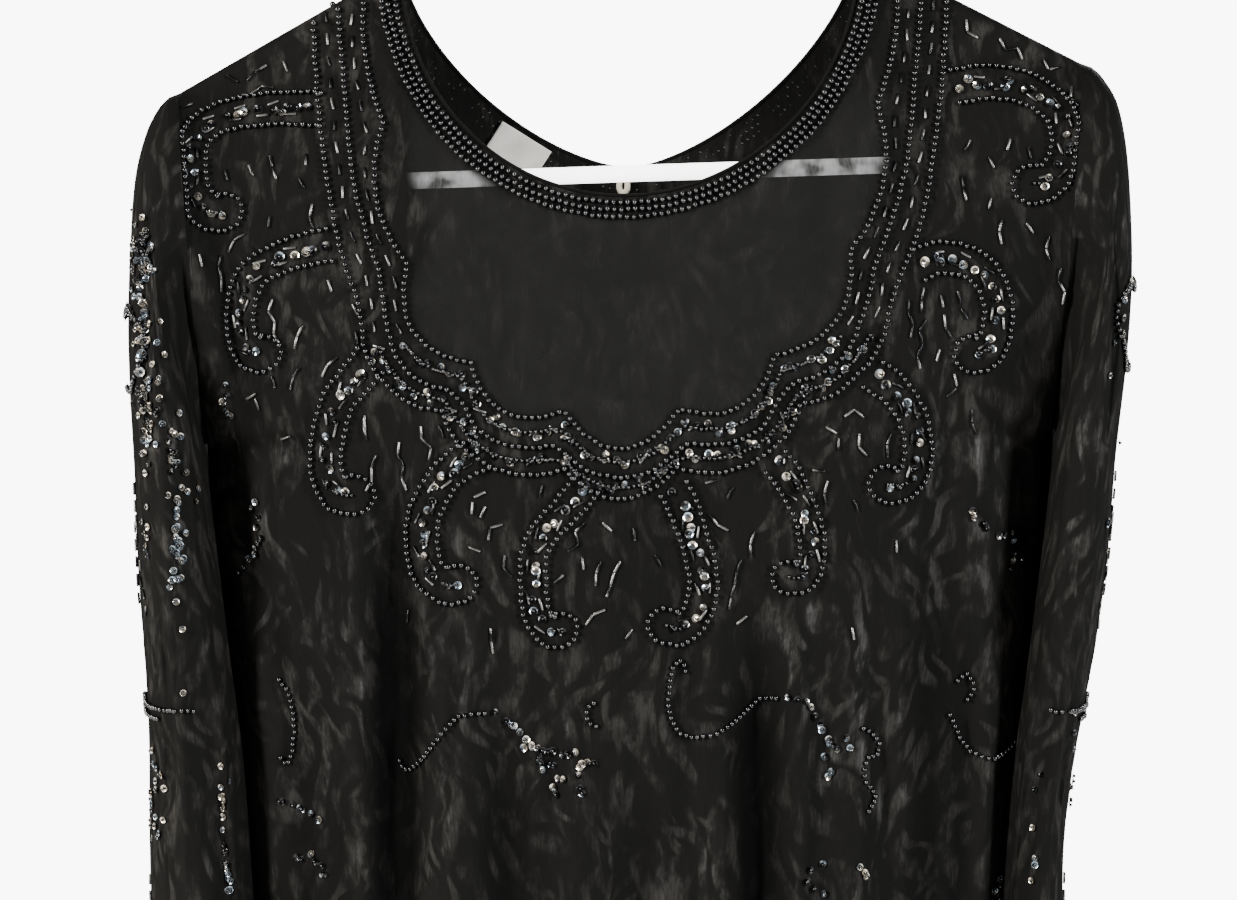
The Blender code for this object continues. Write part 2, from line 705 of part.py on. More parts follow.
def hook_path(apex_z):
    """Stem and round hook. The circle's inside top is the model's origin."""
    middle_radius = HOOK_INSIDE_RADIUS + TUBE_RADIUS
    centre_z = -NECK_POINT_Z - HOOK_INSIDE_RADIUS
    joint_angle = -45.0
    join_x = middle_radius * math.cos(math.radians(joint_angle))
    join_z = centre_z + middle_radius * math.sin(math.radians(joint_angle))
    bend_z = join_z - join_x
    start_z = bend_z - join_x * 0.5
    path = [(0.0, apex_z), (0.0, (apex_z + start_z) / 2.0)]
    for step in range(5):
        part = step / 5.0
        keep = 1.0 - part
        x = part * part * join_x
        z = keep * keep * start_z + 2.0 * keep * part * bend_z + part * part * join_z
        path.append((x, z))
    return path + arc((0.0, centre_z), middle_radius, joint_angle, HOOK_MOUTH_ANGLE, 18)


def add_hanger():
    """Arms, bar and hook moulded in one: the hook is joined to the loop by a union."""
    loop, apex_z = hanger_loop()
    rings = [placed(x, y, z) for x, y, z in tube_points(loop, TUBE_RADIUS, True)]
    hanger = add_node("hanger", rings, tube_faces(len(loop), True), "white_plastic")
    path = hook_path(apex_z)
    rings = [placed(x, y, z) for x, y, z in tube_points(path, TUBE_RADIUS, False)]
    hook = add_node("hook_for_union", rings, tube_faces(len(path), False), "white_plastic")
    hook.hide_render = True
    hook.display_type = "WIRE"
    union = hanger.modifiers.new("hook", "BOOLEAN")
    union.operation = "UNION"
    union.solver = "EXACT"
    union.object = hook
    return hanger


def back_inside(surface, x, z):
    """The inner point and outward-facing normal of the back panel, seen from the front."""
    start = placed(x, 0.0, z)
    hit, normal, _index, _distance = surface.ray_cast(start, Vector((0.0, 1.0, 0.0)))
    if hit is None:
        raise RuntimeError(f"no back cloth at {x:.0f}, {z:.0f}")
    return hit, normal


def add_label(back_surface):
    """A blank satin label, sewn by its upper edge inside the back neckline, left of the middle."""
    edge_step = 2.0
    rise = top_z(LABEL_CENTRE_X + edge_step, False) - top_z(LABEL_CENTRE_X - edge_step, False)
    length = math.hypot(2.0 * edge_step, rise)
    along_x, along_z = 2.0 * edge_step / length, rise / length
    rows, columns = 4, 5
    near, far = [], []
    for r in range(rows):
        drop = 2.0 + LABEL_DROP * r / (rows - 1)
        for c in range(columns):
            reach = LABEL_WIDTH * (c / (columns - 1) - 0.5)
            x = LABEL_CENTRE_X + along_x * reach + along_z * drop
            z = top_z(LABEL_CENTRE_X, False) + along_z * reach - along_x * drop
            base, normal = back_inside(back_surface, x, z)
            far.append(base + normal * TRIM_GAP * MM)
            near.append(base + normal * (TRIM_GAP + LABEL_THICKNESS) * MM)
    total = len(near)
    faces = []
    for r in range(rows - 1):
        for c in range(columns - 1):
            a = r * columns + c
            faces.append((a, a + columns, a + columns + 1, a + 1))
            faces.append((total + a, total + a + 1, total + a + columns + 1, total + a + columns))
    outline = list(range(columns))
    outline += [r * columns + columns - 1 for r in range(1, rows)]
    outline += [(rows - 1) * columns + c for c in range(columns - 2, -1, -1)]
    outline += [r * columns for r in range(rows - 2, 0, -1)]
    for a, b in zip(outline, outline[1:] + outline[:1]):
        faces.append((a, b, total + b, total + a))
    return add_node("neck_label", near + far, faces, "white_satin")


def add_neck_loop(back_surface):
    """A small cream tape loop at the middle of the back neck, which shows below the hanger's bar."""
    steps, sides = 14, 6
    middle_z = (LOOP_TOP_Z + LOOP_BOTTOM_Z) / 2.0
    half_height = (LOOP_TOP_Z - LOOP_BOTTOM_Z) / 2.0 - LOOP_TAPE
    points = []
    for step in range(steps):
        turn = 2.0 * math.pi * step / steps
        narrow = 0.55 + 0.45 * (1.0 - math.sin(turn)) / 2.0
        x = (LOOP_HALF_WIDTH - LOOP_TAPE) * narrow * math.cos(turn) - 3.0
        z = middle_z + half_height * math.sin(turn)
        out_x, out_z = math.cos(turn), math.sin(turn)
        base, _normal = back_inside(back_surface, x, min(z, top_z(x, False) - 2.0))
        for side in range(sides):
            round_turn = 2.0 * math.pi * side / sides
            reach = LOOP_TAPE * math.cos(round_turn)
            point = placed(x + out_x * reach, 0.0, z + out_z * reach)
            point.y = base.y - (LOOP_TAPE + TRIM_GAP + LOOP_TAPE * math.sin(round_turn)) * MM
            points.append(point)
    faces = []
    for step in range(steps):
        start = step * sides
        end = (step + 1) % steps * sides
        for side in range(sides):
            following = (side + 1) % sides
            faces.append((start + side, end + side, end + following, start + following))
    return add_node("neck_loop", points, faces, "cream_tape")


def main():
    clear_scene()
    front = add_body_panel("bodice_front", True, FRONT_NECK_ANGLES, shoulder_steps=7)
    back = add_body_panel("bodice_back", False, BACK_NECK_ANGLES, shoulder_steps=6)
    add_sleeve("sleeve_left", LEFT_SLEEVE, -1.0)
    add_sleeve("sleeve_right", RIGHT_SLEEVE, 1.0)
    add_skirt_panel("skirt_front", True)
    add_skirt_panel("skirt_back", False)
    front_surface = surface_of(front)
    back_surface = surface_of(back)
    add_all_beading(front_surface, back_surface)
    add_label(back_surface)
    add_neck_loop(back_surface)
    add_hanger()


main()
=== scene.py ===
"""A beaded long-sleeved dress with a dropped waist, on a tube hanger, dressed as it hangs.

Sizes are in millimetres. Those whose names end in _M or _m, the panel's sizes and the lights
are in metres. Heights are measured from the neck point, where the shoulder seam meets the
neckline, and the front faces -Y.
"""

import math
import random

import bpy
import numpy as np
from mathutils import Matrix, Vector
from mathutils.bvhtree import BVHTree


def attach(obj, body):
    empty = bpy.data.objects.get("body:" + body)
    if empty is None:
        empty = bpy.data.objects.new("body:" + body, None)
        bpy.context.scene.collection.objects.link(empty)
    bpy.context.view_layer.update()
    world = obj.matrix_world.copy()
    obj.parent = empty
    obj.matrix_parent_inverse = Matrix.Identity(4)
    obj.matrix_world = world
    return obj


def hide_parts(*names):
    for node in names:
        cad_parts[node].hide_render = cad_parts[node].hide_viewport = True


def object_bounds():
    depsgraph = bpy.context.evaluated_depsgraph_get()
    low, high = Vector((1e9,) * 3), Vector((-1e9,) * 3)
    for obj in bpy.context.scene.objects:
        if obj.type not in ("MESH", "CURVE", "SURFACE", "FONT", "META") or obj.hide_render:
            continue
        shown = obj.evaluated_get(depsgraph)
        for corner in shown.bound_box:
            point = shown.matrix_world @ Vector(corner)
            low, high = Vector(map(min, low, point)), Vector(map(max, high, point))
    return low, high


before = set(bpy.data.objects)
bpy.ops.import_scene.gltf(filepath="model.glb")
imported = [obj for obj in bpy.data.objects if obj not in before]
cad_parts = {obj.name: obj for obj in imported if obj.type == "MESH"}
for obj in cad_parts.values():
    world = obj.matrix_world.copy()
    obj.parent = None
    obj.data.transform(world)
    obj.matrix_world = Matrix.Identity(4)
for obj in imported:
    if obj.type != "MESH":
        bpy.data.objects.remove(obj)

bl_info = {
    "name": "Beaded dropped-waist dress",
    "version": (1, 0, 0),
    "blender": (4, 5, 0),
    "location": "3D View > Sidebar > Dress",
    "description": "Cloth, beadwork, hanger and studio of a beaded dress",
    "category": "Object",
}

CAD_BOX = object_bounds()
MM = 0.001

# The garment's form, as its solids have it
NECK_POINT_Z = -130.0
NECK_HALF = 103.0
FRONT_NECK_DEPTH = 108.0
BACK_NECK_DEPTH = 94.0
FRONT_NECK_POWER = 2.0
BACK_NECK_POWER = 1.55
SHOULDER_HALF = 203.0
SHOULDER_SLOPE = math.tan(math.radians(28.5))
ARMHOLE_HEIGHT = 160.7
ARMHOLE_HALF_DEPTH = 34.0
LEAN = math.tan(math.radians(1.9))
LEAN_FULL_Z = -110.0
LEAN_END_Z = -330.0
WAIST_SEAM_Z = -640.0
HEM_Z = -1060.0
HEM_HALF = 214.0
HEM_FRONT_DEPTH = 96.0
HEM_BACK_DEPTH = 84.0
SECTION_POWER = 2.6
SKIRT_WAVES = 9
SKIRT_WAVE_DEPTH = 13.0
TUBE_RADIUS = 3.75
TUBE_COVER = 5.65
TUBE_COVER_HEIGHT = TUBE_COVER / math.cos(math.atan(SHOULDER_SLOPE))
COVER_FULL_Z = -120.0
COVER_END_Z = -190.0
FRONT_FALL = 62.0
BACK_FALL = 48.0
FALL_LENGTH = 170.0
ARM_REACH = 185.0
ARM_ROOM = 0.3
BAR_DROP = 97.0
APEX_ROUNDING = 24.0
HOOK_INSIDE_RADIUS = 22.0
HOOK_MOUTH_ANGLE = 205.0
HOOK_JOIN_ANGLE = -45.0

HALF_WIDTHS = (  # height, half width
    (0.0, 203.0),
    (-54.3, 203.0),
    (-215.0, 190.0),
    (-235.0, 189.4),
    (-262.0, 186.2),
    (-295.0, 182.4),
    (-350.0, 176.8),
    (-422.0, 170.6),
    (-520.0, 168.4),
    (-640.0, 172.0),
)

FRONT_FOLDS = (  # x at the top, top height, x at the waist seam, depth, half width
    (-106.0, -195.0, -100.0, 15.0, 11.0),
    (54.0, -255.0, 60.0, 12.0, 11.0),
    (-55.0, -300.0, -52.0, 8.0, 11.0),
    (139.0, -195.0, 128.0, 7.0, 14.0),
    (-148.0, -270.0, -142.0, 6.0, 12.0),
    (4.0, -330.0, 8.0, 6.0, 12.0),
    (99.0, -300.0, 96.0, -5.0, 14.0),
    (-80.0, -295.0, -76.0, -5.0, 12.0),
    (-26.0, -315.0, -22.0, -4.0, 12.0),
)

BACK_FOLDS = (  # x at the top, top height, x at the waist seam, depth, half width
    (-112.0, -210.0, -104.0, 12.0, 13.0),
    (-30.0, -240.0, -36.0, 9.0, 13.0),
    (62.0, -230.0, 56.0, 13.0, 12.0),
    (128.0, -260.0, 120.0, 7.0, 14.0),
    (14.0, -270.0, 12.0, -5.0, 14.0),
    (-72.0, -270.0, -70.0, -5.0, 13.0),
)

FULL_FOLD_DEPTH = 13.0

# Softer creases that only the finished cloth has
FRONT_CREASES = (  # x, height, end x, end height, depth, half width
    (-199.0, -84.0, -158.0, -236.0, 4.5, 10.0),
    (-178.0, -118.0, -146.0, -262.0, -2.4, 9.0),
    (-188.0, -196.0, -158.0, -338.0, 5.0, 9.0),
    (-170.0, -232.0, -162.0, -420.0, -3.0, 8.0),
    (196.0, -92.0, 160.0, -240.0, 4.0, 10.0),
    (180.0, -126.0, 152.0, -250.0, -2.2, 9.0),
    (184.0, -206.0, 160.0, -330.0, 4.8, 9.0),
    (166.0, -246.0, 158.0, -430.0, -3.2, 8.0),
    (-92.0, -24.0, -84.0, -168.0, 2.0, 10.0),
    (-62.0, -104.0, -50.0, -196.0, 1.3, 10.0),
    (-24.0, -122.0, -18.0, -214.0, -1.2, 12.0),
    (12.0, -118.0, 6.0, -214.0, 1.2, 12.0),
    (50.0, -112.0, 44.0, -200.0, -1.3, 10.0),
    (88.0, -28.0, 82.0, -168.0, 2.0, 10.0),
    (-124.0, -206.0, -122.0, -400.0, -2.6, 7.0),
    (-128.0, -318.0, -124.0, -640.0, 3.6, 7.0),
    (-90.0, -262.0, -88.0, -436.0, 2.4, 6.0),
    (-66.0, -244.0, -68.0, -400.0, -2.2, 7.0),
    (-36.0, -300.0, -38.0, -520.0, 3.0, 7.0),
    (-12.0, -262.0, -10.0, -470.0, -2.0, 8.0),
    (22.0, -268.0, 26.0, -500.0, 2.6, 7.0),
    (40.0, -350.0, 42.0, -640.0, -3.0, 7.0),
    (74.0, -262.0, 78.0, -520.0, -3.0, 7.0),
    (84.0, -300.0, 86.0, -620.0, 3.4, 6.0),
    (112.0, -250.0, 110.0, -560.0, 3.0, 7.0),
    (122.0, -216.0, 118.0, -420.0, -2.4, 7.0),
    (152.0, -270.0, 146.0, -600.0, 3.2, 7.0),
    (-166.0, -330.0, -160.0, -640.0, 4.0, 8.0),
    (-112.0, -430.0, -114.0, -640.0, -3.4, 7.0),
    (-8.0, -480.0, -6.0, -640.0, 3.6, 7.0),
)

BACK_CREASES = (  # x, height, end x, end height, depth, half width
    (-198.0, -88.0, -152.0, -250.0, 4.5, 11.0),
    (196.0, -86.0, 150.0, -246.0, 4.2, 11.0),
    (-176.0, -190.0, -150.0, -340.0, 4.4, 9.0),
    (178.0, -200.0, 154.0, -330.0, 4.0, 9.0),
    (-90.0, -150.0, -86.0, -420.0, 2.4, 9.0),
    (-52.0, -190.0, -56.0, -500.0, -2.6, 8.0),
    (-6.0, -220.0, -8.0, -560.0, 3.2, 8.0),
    (36.0, -200.0, 34.0, -470.0, -2.4, 8.0),
    (88.0, -180.0, 84.0, -520.0, 3.0, 8.0),
    (108.0, -240.0, 104.0, -600.0, -2.6, 8.0),
    (-136.0, -260.0, -130.0, -600.0, 3.4, 8.0),
    (152.0, -300.0, 146.0, -640.0, 3.0, 8.0),
)

LEFT_SLEEVE = (  # outer x, outer height, inner x, inner height, half depth, set back
    (207.5, -56.0, 190.9, -215.6, 35.0, 0.0),
    (212.5, -61.5, 191.5, -216.6, 38.0, 0.5),
    (218.0, -73.0, 192.0, -218.5, 42.0, 1.0),
    (222.5, -92.0, 192.2, -221.5, 47.0, 2.0),
    (224.5, -120.0, 192.4, -226.0, 52.0, 3.0),
    (225.5, -152.0, 192.4, -233.0, 56.0, 4.0),
    (225.0, -188.0, 192.2, -244.0, 59.0, 6.0),
    (223.0, -228.0, 191.0, -262.0, 61.0, 7.0),
    (221.5, -268.0, 187.5, -288.0, 62.0, 8.0),
    (219.0, -308.0, 183.5, -320.0, 61.0, 8.0),
    (217.0, -350.0, 178.5, -356.0, 60.0, 8.0),
    (216.5, -395.0, 175.0, -398.0, 58.0, 8.0),
    (215.0, -440.0, 172.5, -441.0, 56.0, 8.0),
    (212.5, -490.0, 171.5, -490.0, 53.0, 8.0),
    (210.0, -540.0, 172.0, -540.0, 49.0, 8.0),
    (207.0, -585.0, 173.5, -585.0, 45.0, 8.0),
    (205.5, -618.0, 174.5, -618.0, 43.0, 8.0),
)
RIGHT_SLEEVE = (  # outer x, outer height, inner x, inner height, half depth, set back
    (207.5, -56.0, 190.9, -215.6, 35.0, 0.0),
    (212.5, -61.0, 191.5, -216.6, 38.0, 0.5),
    (219.0, -72.5, 192.0, -218.5, 43.0, 1.0),
    (223.0, -92.0, 192.2, -221.5, 48.0, 2.0),
    (225.0, -120.0, 192.4, -226.0, 54.0, 3.0),
    (225.5, -152.0, 192.4, -233.0, 58.0, 5.0),
    (223.0, -188.0, 192.2, -244.0, 61.0, 7.0),
    (218.5, -228.0, 191.0, -262.0, 63.0, 9.0),
    (215.0, -268.0, 187.5, -288.0, 65.0, 10.0),
    (209.5, -308.0, 183.5, -320.0, 65.0, 11.0),
    (202.0, -350.0, 178.5, -356.0, 64.0, 12.0),
    (196.0, -395.0, 174.5, -398.0, 62.0, 12.0),
    (195.0, -440.0, 172.2, -441.0, 59.0, 12.0),
    (197.0, -490.0, 171.5, -490.0, 56.0, 12.0),
    (200.0, -540.0, 171.8, -540.0, 52.0, 11.0),
    (202.5, -585.0, 172.5, -585.0, 48.0, 10.0),
    (204.0, -618.0, 174.0, -618.0, 45.0, 9.0),
)
SLEEVE_LEANS_IN = 2.6
SLEEVE_OVERLAP = 6.0
SLEEVE_POWER = 2.3
SLEEVE_RIPPLES = 3
SLEEVE_RIPPLE_DEPTH = 3.0
SLEEVE_CREASES = (  # turn from the outermost line in degrees, height, end turn, end height, depth, half width
    (52.0, -84.0, 84.0, -236.0, 4.0, 10.0),
    (88.0, -104.0, 128.0, -252.0, 4.6, 11.0),
    (34.0, -150.0, 58.0, -400.0, 3.2, 9.0),
    (70.0, -236.0, 64.0, -600.0, 4.2, 9.0),
    (104.0, -270.0, 112.0, -618.0, 4.6, 10.0),
    (20.0, -300.0, 28.0, -560.0, 2.6, 8.0),
    (82.0, -150.0, 92.0, -340.0, -2.6, 8.0),
    (-46.0, -90.0, -84.0, -260.0, 4.4, 11.0),
    (-90.0, -170.0, -112.0, -430.0, 4.6, 11.0),
    (-36.0, -250.0, -44.0, -600.0, 3.6, 10.0),
    (-76.0, -330.0, -82.0, -618.0, -2.8, 9.0),
)

# Beadwork: lines on the front as seen from the front
NECK_BAND_INSET = 6.5
NECK_ROW_OFFSETS = (-3.2, 0.0, 3.2)
NECK_ROW_REACH = 84.0
NECK_BAND_WIDTH = 11.5
SHEER_TOP_Z = -70.0
SHEER_INSET = 12.0
SHEER_LEFT_INSET = 16.0
YOKE_INNER_CUSPS = (  # x, height, how far the arc below it bulges outward
    (119.0, -11.0, 4.0),
    (110.0, -71.0, 9.0),
    (98.5, -136.0, 13.5),
    (67.5, -181.0, 12.5),
    (25.8, -203.5, 17.5),
)
YOKE_MIDDLE = (  # x, height
    (131.0, -18.0),
    (130.0, -32.0),
    (127.0, -62.0),
    (123.5, -96.0),
    (117.0, -122.0),
    (110.5, -140.0),
    (108.0, -154.0),
    (104.5, -168.0),
    (100.5, -178.0),
    (94.0, -185.5),
    (86.0, -190.5),
    (76.5, -193.5),
    (69.5, -201.0),
    (65.0, -209.5),
    (58.5, -215.0),
    (50.0, -218.5),
    (39.5, -219.8),
    (30.0, -219.0),
    (22.5, -224.5),
    (13.0, -231.0),
    (0.0, -233.5),
)
YOKE_OUTER_CUSPS = (  # x, height, how far the arc below it bulges outward
    (142.0, -24.0, 1.5),
    (133.0, -108.0, 1.0),
    (124.0, -141.0, -1.5),
    (116.0, -172.0, 1.5),
    (104.0, -190.5, 3.0),
    (79.5, -202.0, 2.0),
    (68.0, -221.0, 6.0),
    (25.2, -229.5, 13.5),
)
YOKE_SLIP = 4.0
YOKE_SLIP_STARTS_Z = -110.0
YOKE_SLIP_FULL_Z = -215.0
YOKE_SIDES_END = 172.0  # how far below the neck point the band's steep sides end
CURLS = {  # half width, then the middle line from the root to the hooked end as x and height
    "left": (
        (7.0, ((-138.0, -64.7), (-152.7, -63.6), (-165.8, -63.8), (-179.0, -65.6), (-189.2, -69.7),
               (-195.1, -76.8), (-196.2, -88.4), (-194.3, -100.2), (-188.9, -108.4), (-181.2, -109.3))),
        (7.0, ((-132.2, -125.5), (-143.9, -127.4), (-155.6, -130.7), (-165.8, -136.1), (-171.7, -144.7),
               (-173.4, -154.9), (-173.1, -165.1), (-169.5, -172.5), (-163.6, -174.2))),
        (7.4, ((-113.2, -175.9), (-122.0, -187.3), (-129.3, -195.8), (-133.0, -207.4), (-134.9, -219.0),
               (-134.4, -230.7), (-130.0, -238.7), (-122.5, -240.0))),
        (7.2, ((-63.7, -220.9), (-70.9, -223.8), (-78.1, -228.6), (-83.3, -233.7), (-87.4, -240.7),
               (-91.0, -248.9), (-92.1, -258.2), (-91.5, -267.5), (-88.4, -275.8), (-81.7, -280.7),
               (-76.0, -280.4))),
        (6.2, ((-18.2, -234.8), (-24.4, -242.8), (-31.6, -250.9), (-38.9, -258.8), (-42.5, -267.0),
               (-43.0, -277.3), (-42.5, -287.7), (-39.9, -297.1), (-34.5, -301.5), (-30.5, -300.6))),
    ),
    "right": (
        (7.2, ((143.0, -64.5), (158.0, -62.3), (171.0, -63.7), (182.0, -68.0), (190.0, -74.5),
               (194.5, -82.5), (195.0, -91.5), (192.5, -100.5), (187.0, -107.5), (179.0, -109.0))),
        (6.8, ((127.0, -143.5), (137.0, -140.2), (147.0, -141.4), (156.0, -146.0), (161.5, -154.2),
               (163.6, -163.4), (162.6, -173.2), (158.5, -181.0), (152.0, -182.4))),
        (6.5, ((107.0, -190.0), (117.3, -197.6), (124.8, -208.5), (127.6, -220.5), (126.5, -232.0),
               (121.0, -238.4), (113.5, -238.0))),
        (6.0, ((63.0, -226.0), (70.0, -235.0), (76.0, -246.5), (79.8, -258.0), (80.5, -269.0),
               (77.0, -277.5), (70.0, -278.0))),
        (6.4, ((18.5, -238.0), (23.1, -246.0), (26.2, -254.5), (29.3, -264.8), (31.9, -275.2),
               (32.2, -285.5), (29.0, -294.5), (22.6, -300.2), (15.4, -299.0))),
    ),
}
CURL_BULB = 0.24
CURL_STEPS = 6
CURL_CAP_TURN = 75.0
SEQUIN_LIFT = 0.7
SCROLL_STEPS = 46
SCROLL_START = 100.0
SCROLL_TURN = 330.0

BEAD_SCROLLS = (  # rows of round beads low on the front, as x and height
    ((25.0, -320.5), (22.5, -314.5), (18.5, -318.0), (16.5, -335.0), (22.5, -347.0), (36.5, -347.0),
     (48.5, -339.0), (58.0, -331.5), (66.0, -331.5)),
    ((-102.0, -358.0), (-99.0, -363.0), (-92.0, -359.0), (-79.0, -342.0), (-70.5, -338.0), (-63.0, -338.0)),
    ((-14.5, -333.0), (-18.5, -335.0), (-18.5, -341.0), (-14.5, -344.0)),
    ((144.5, -325.0), (149.0, -321.0), (153.5, -326.5), (150.0, -333.0)),
    ((141.0, -338.0), (149.0, -353.0), (161.5, -358.5), (172.0, -350.5), (174.0, -343.5)),
    ((-157.0, -323.0), (-152.0, -329.0), (-149.5, -340.0), (-149.5, -352.0), (-152.5, -361.0),
     (-157.0, -357.0)),
    ((101.5, -344.0), (108.0, -348.0), (110.0, -355.0), (104.5, -358.0), (103.5, -367.0), (108.0, -375.0),
     (104.5, -381.0)),
)
SEQUIN_TRAILS = (  # lines of sequins low on the front, as x and height
    ((70.0, -331.0), (78.0, -334.5), (82.0, -340.0), (85.5, -346.5), (87.5, -353.0), (87.5, -366.0)),
    ((88.0, -352.0), (94.0, -354.0), (98.0, -349.0)),
    ((-60.0, -338.5), (-52.5, -341.5), (-46.5, -349.0), (-37.5, -354.0), (-29.0, -355.0), (-16.5, -359.5)),
    ((-46.0, -350.0), (-40.0, -360.0), (-38.0, -366.0)),
    ((-38.0, -355.0), (-32.0, -364.0), (-31.0, -369.0), (-35.0, -376.0)),
    ((-22.0, -358.0), (-24.0, -366.0), (-20.5, -374.0)),
    ((-168.0, -243.0), (-164.5, -258.0), (-166.0, -266.5), (-174.0, -276.0)),
    ((-181.5, -188.0), (-180.5, -197.0), (-180.0, -203.5)),
    ((151.0, -249.5), (157.0, -256.5), (170.0, -263.0), (172.5, -269.0), (171.0, -274.0), (167.0, -277.0)),
    ((-158.5, -376.0), (-147.5, -381.5), (-138.5, -384.5)),
    ((-150.5, -404.0), (-140.0, -402.0), (-136.0, -410.0)),
    ((84.0, -404.0), (78.0, -412.0), (86.0, -417.0)),
    ((101.5, -402.5), (105.0, -412.5)),
    ((164.0, -409.5), (162.0, -421.0)),
)
FRONT_BUGLES = (  # chains of bugles on the front: x, height, heading, zigzag, count
    (-134.4, -141.6, -70.0, 0.0, 1),
    (-123.5, -152.9, -65.0, 0.0, 1),
    (-159.3, -149.5, -84.0, 16.0, 4),
    (-145.4, -161.7, -105.0, 8.0, 2),
    (-146.8, -180.6, -105.0, 8.0, 2),
    (-130.0, -176.8, -125.0, 8.0, 2),
    (-122.0, -165.4, -80.0, 0.0, 1),
    (-159.3, -184.6, -80.0, 0.0, 1),
    (-171.0, -195.0, 25.0, 0.0, 1),
    (-166.6, -194.6, -70.0, 0.0, 1),
    (-155.6, -213.9, 25.0, 0.0, 1),
    (-117.6, -203.5, -80.0, 12.0, 2),
    (-113.0, -222.0, -98.0, 14.0, 3),
    (-192.1, -128.0, -85.0, 0.0, 1),
    (-182.6, -128.3, -92.0, 6.0, 3),
    (-171.7, -119.1, -130.0, 20.0, 2),
    (-160.7, -111.5, -90.0, 0.0, 1),
    (-141.7, -107.0, -88.0, 8.0, 2),
    (-148.0, -95.0, -62.0, 0.0, 1),
    (-161.0, -84.5, -68.0, 6.0, 2),
    (-170.5, -88.5, -65.0, 0.0, 1),
    (-181.0, -90.0, -75.0, 0.0, 1),
    (-144.6, -84.2, -85.0, 0.0, 1),
    (-155.6, -41.6, -65.0, 0.0, 1),
    (-163.0, -43.0, -140.0, 8.0, 2),
    (-181.0, -47.0, -35.0, 0.0, 1),
    (-196.0, -60.0, -165.0, 0.0, 1),
    (-176.0, -57.0, 20.0, 20.0, 3),
    (-69.9, -243.6, -90.0, 0.0, 1),
    (-69.5, -241.6, 30.0, 0.0, 1),
    (-64.2, -245.7, -115.0, 0.0, 1),
    (-56.4, -253.9, -130.0, 35.0, 2),
    (-71.5, -263.8, -15.0, 0.0, 1),
    (-55.4, -267.4, -75.0, 25.0, 2),
    (-33.7, -280.3, 45.0, 6.0, 1),
    (-92.6, -209.0, -72.0, 20.0, 3),
    (-84.8, -209.0, -65.0, 0.0, 1),
    (-102.4, -216.0, -82.0, 14.0, 4),
    (-118.0, -205.0, -80.0, 0.0, 1),
    (-38.9, -236.4, -95.0, 0.0, 1),
    (-21.3, -268.5, -90.0, 0.0, 1),
    (-20.3, -253.4, -110.0, 35.0, 3),
    (-12.5, -253.4, -36.0, 0.0, 1),
    (1.4, -256.0, -85.0, 0.0, 1),
    (-13.0, -270.5, -100.0, 6.0, 2),
    (-4.3, -270.5, -110.0, 6.0, 3),
    (10.7, -267.9, -55.0, 0.0, 1),
    (0.9, -300.5, -125.0, 0.0, 1),
    (-11.0, -292.0, -140.0, 15.0, 2),
    (33.0, -236.5, 8.0, 0.0, 1),
    (35.0, -250.3, -44.0, 8.0, 2),
    (49.1, -270.0, -104.0, 5.0, 4),
    (47.0, -298.5, 35.0, 0.0, 1),
    (45.7, -238.4, -115.0, 0.0, 1),
    (54.9, -258.0, -92.0, 8.0, 2),
    (87.4, -236.0, -88.0, 10.0, 2),
    (80.7, -231.4, -8.0, 0.0, 1),
    (86.5, -212.6, -35.0, 0.0, 1),
    (92.4, -217.5, -100.0, 0.0, 1),
    (101.5, -215.8, -72.0, 24.0, 2),
    (94.9, -208.5, 38.0, 0.0, 1),
    (99.5, -205.4, -40.0, 0.0, 1),
    (99.0, -244.5, -65.0, 0.0, 1),
    (115.7, -215.5, -95.0, 8.0, 2),
    (144.0, -190.7, -80.0, 0.0, 1),
    (144.8, -197.0, -135.0, 0.0, 1),
    (124.0, -158.0, -84.0, 14.0, 3),
    (130.6, -153.0, -95.0, 12.0, 2),
    (131.5, -167.0, -95.0, 22.0, 4),
    (138.1, -156.5, -88.0, 0.0, 1),
    (139.5, -165.0, -68.0, 10.0, 2),
    (137.5, -180.0, -105.0, 0.0, 1),
    (145.6, -155.0, -80.0, 0.0, 1),
    (147.3, -162.7, -55.0, 0.0, 1),
    (165.6, -124.0, -90.0, 6.0, 2),
    (176.4, -126.0, -60.0, 0.0, 1),
    (187.0, -132.0, -94.0, 12.0, 2),
    (192.0, -146.0, -80.0, 22.0, 3),
    (152.0, -88.0, -112.0, 0.0, 1),
    (160.0, -96.0, -70.0, 0.0, 1),
    (170.0, -88.0, -100.0, 0.0, 1),
    (178.0, -92.0, -72.0, 0.0, 1),
    (148.0, -104.0, -84.0, 8.0, 2),
    (161.0, -114.0, -96.0, 0.0, 1),
    (151.0, -33.0, -60.0, 34.0, 2),
    (166.0, -42.0, -24.0, 40.0, 3),
    (186.0, -52.0, -30.0, 40.0, 2),
    (198.0, -65.0, -70.0, 20.0, 3),
    (118.0, -262.0, -92.0, 0.0, 1),
    (98.0, -300.0, -88.0, 0.0, 1),
    (-98.0, -292.0, -96.0, 0.0, 1),
    (152.0, -206.0, -70.0, 12.0, 2),
    (-62.0, -300.0, -84.0, 10.0, 2),
)
HIDDEN_SCROLLS = (  # x, height, size, lean in degrees, for the places that the photo's edge leaves out
    (-96.0, -470.0, 30.0, 10.0),
    (36.0, -482.0, 32.0, -8.0),
    (118.0, -460.0, 26.0, 16.0),
    (-30.0, -560.0, 34.0, 6.0),
    (76.0, -575.0, 28.0, -12.0),
    (-128.0, -574.0, 26.0, 0.0),
)
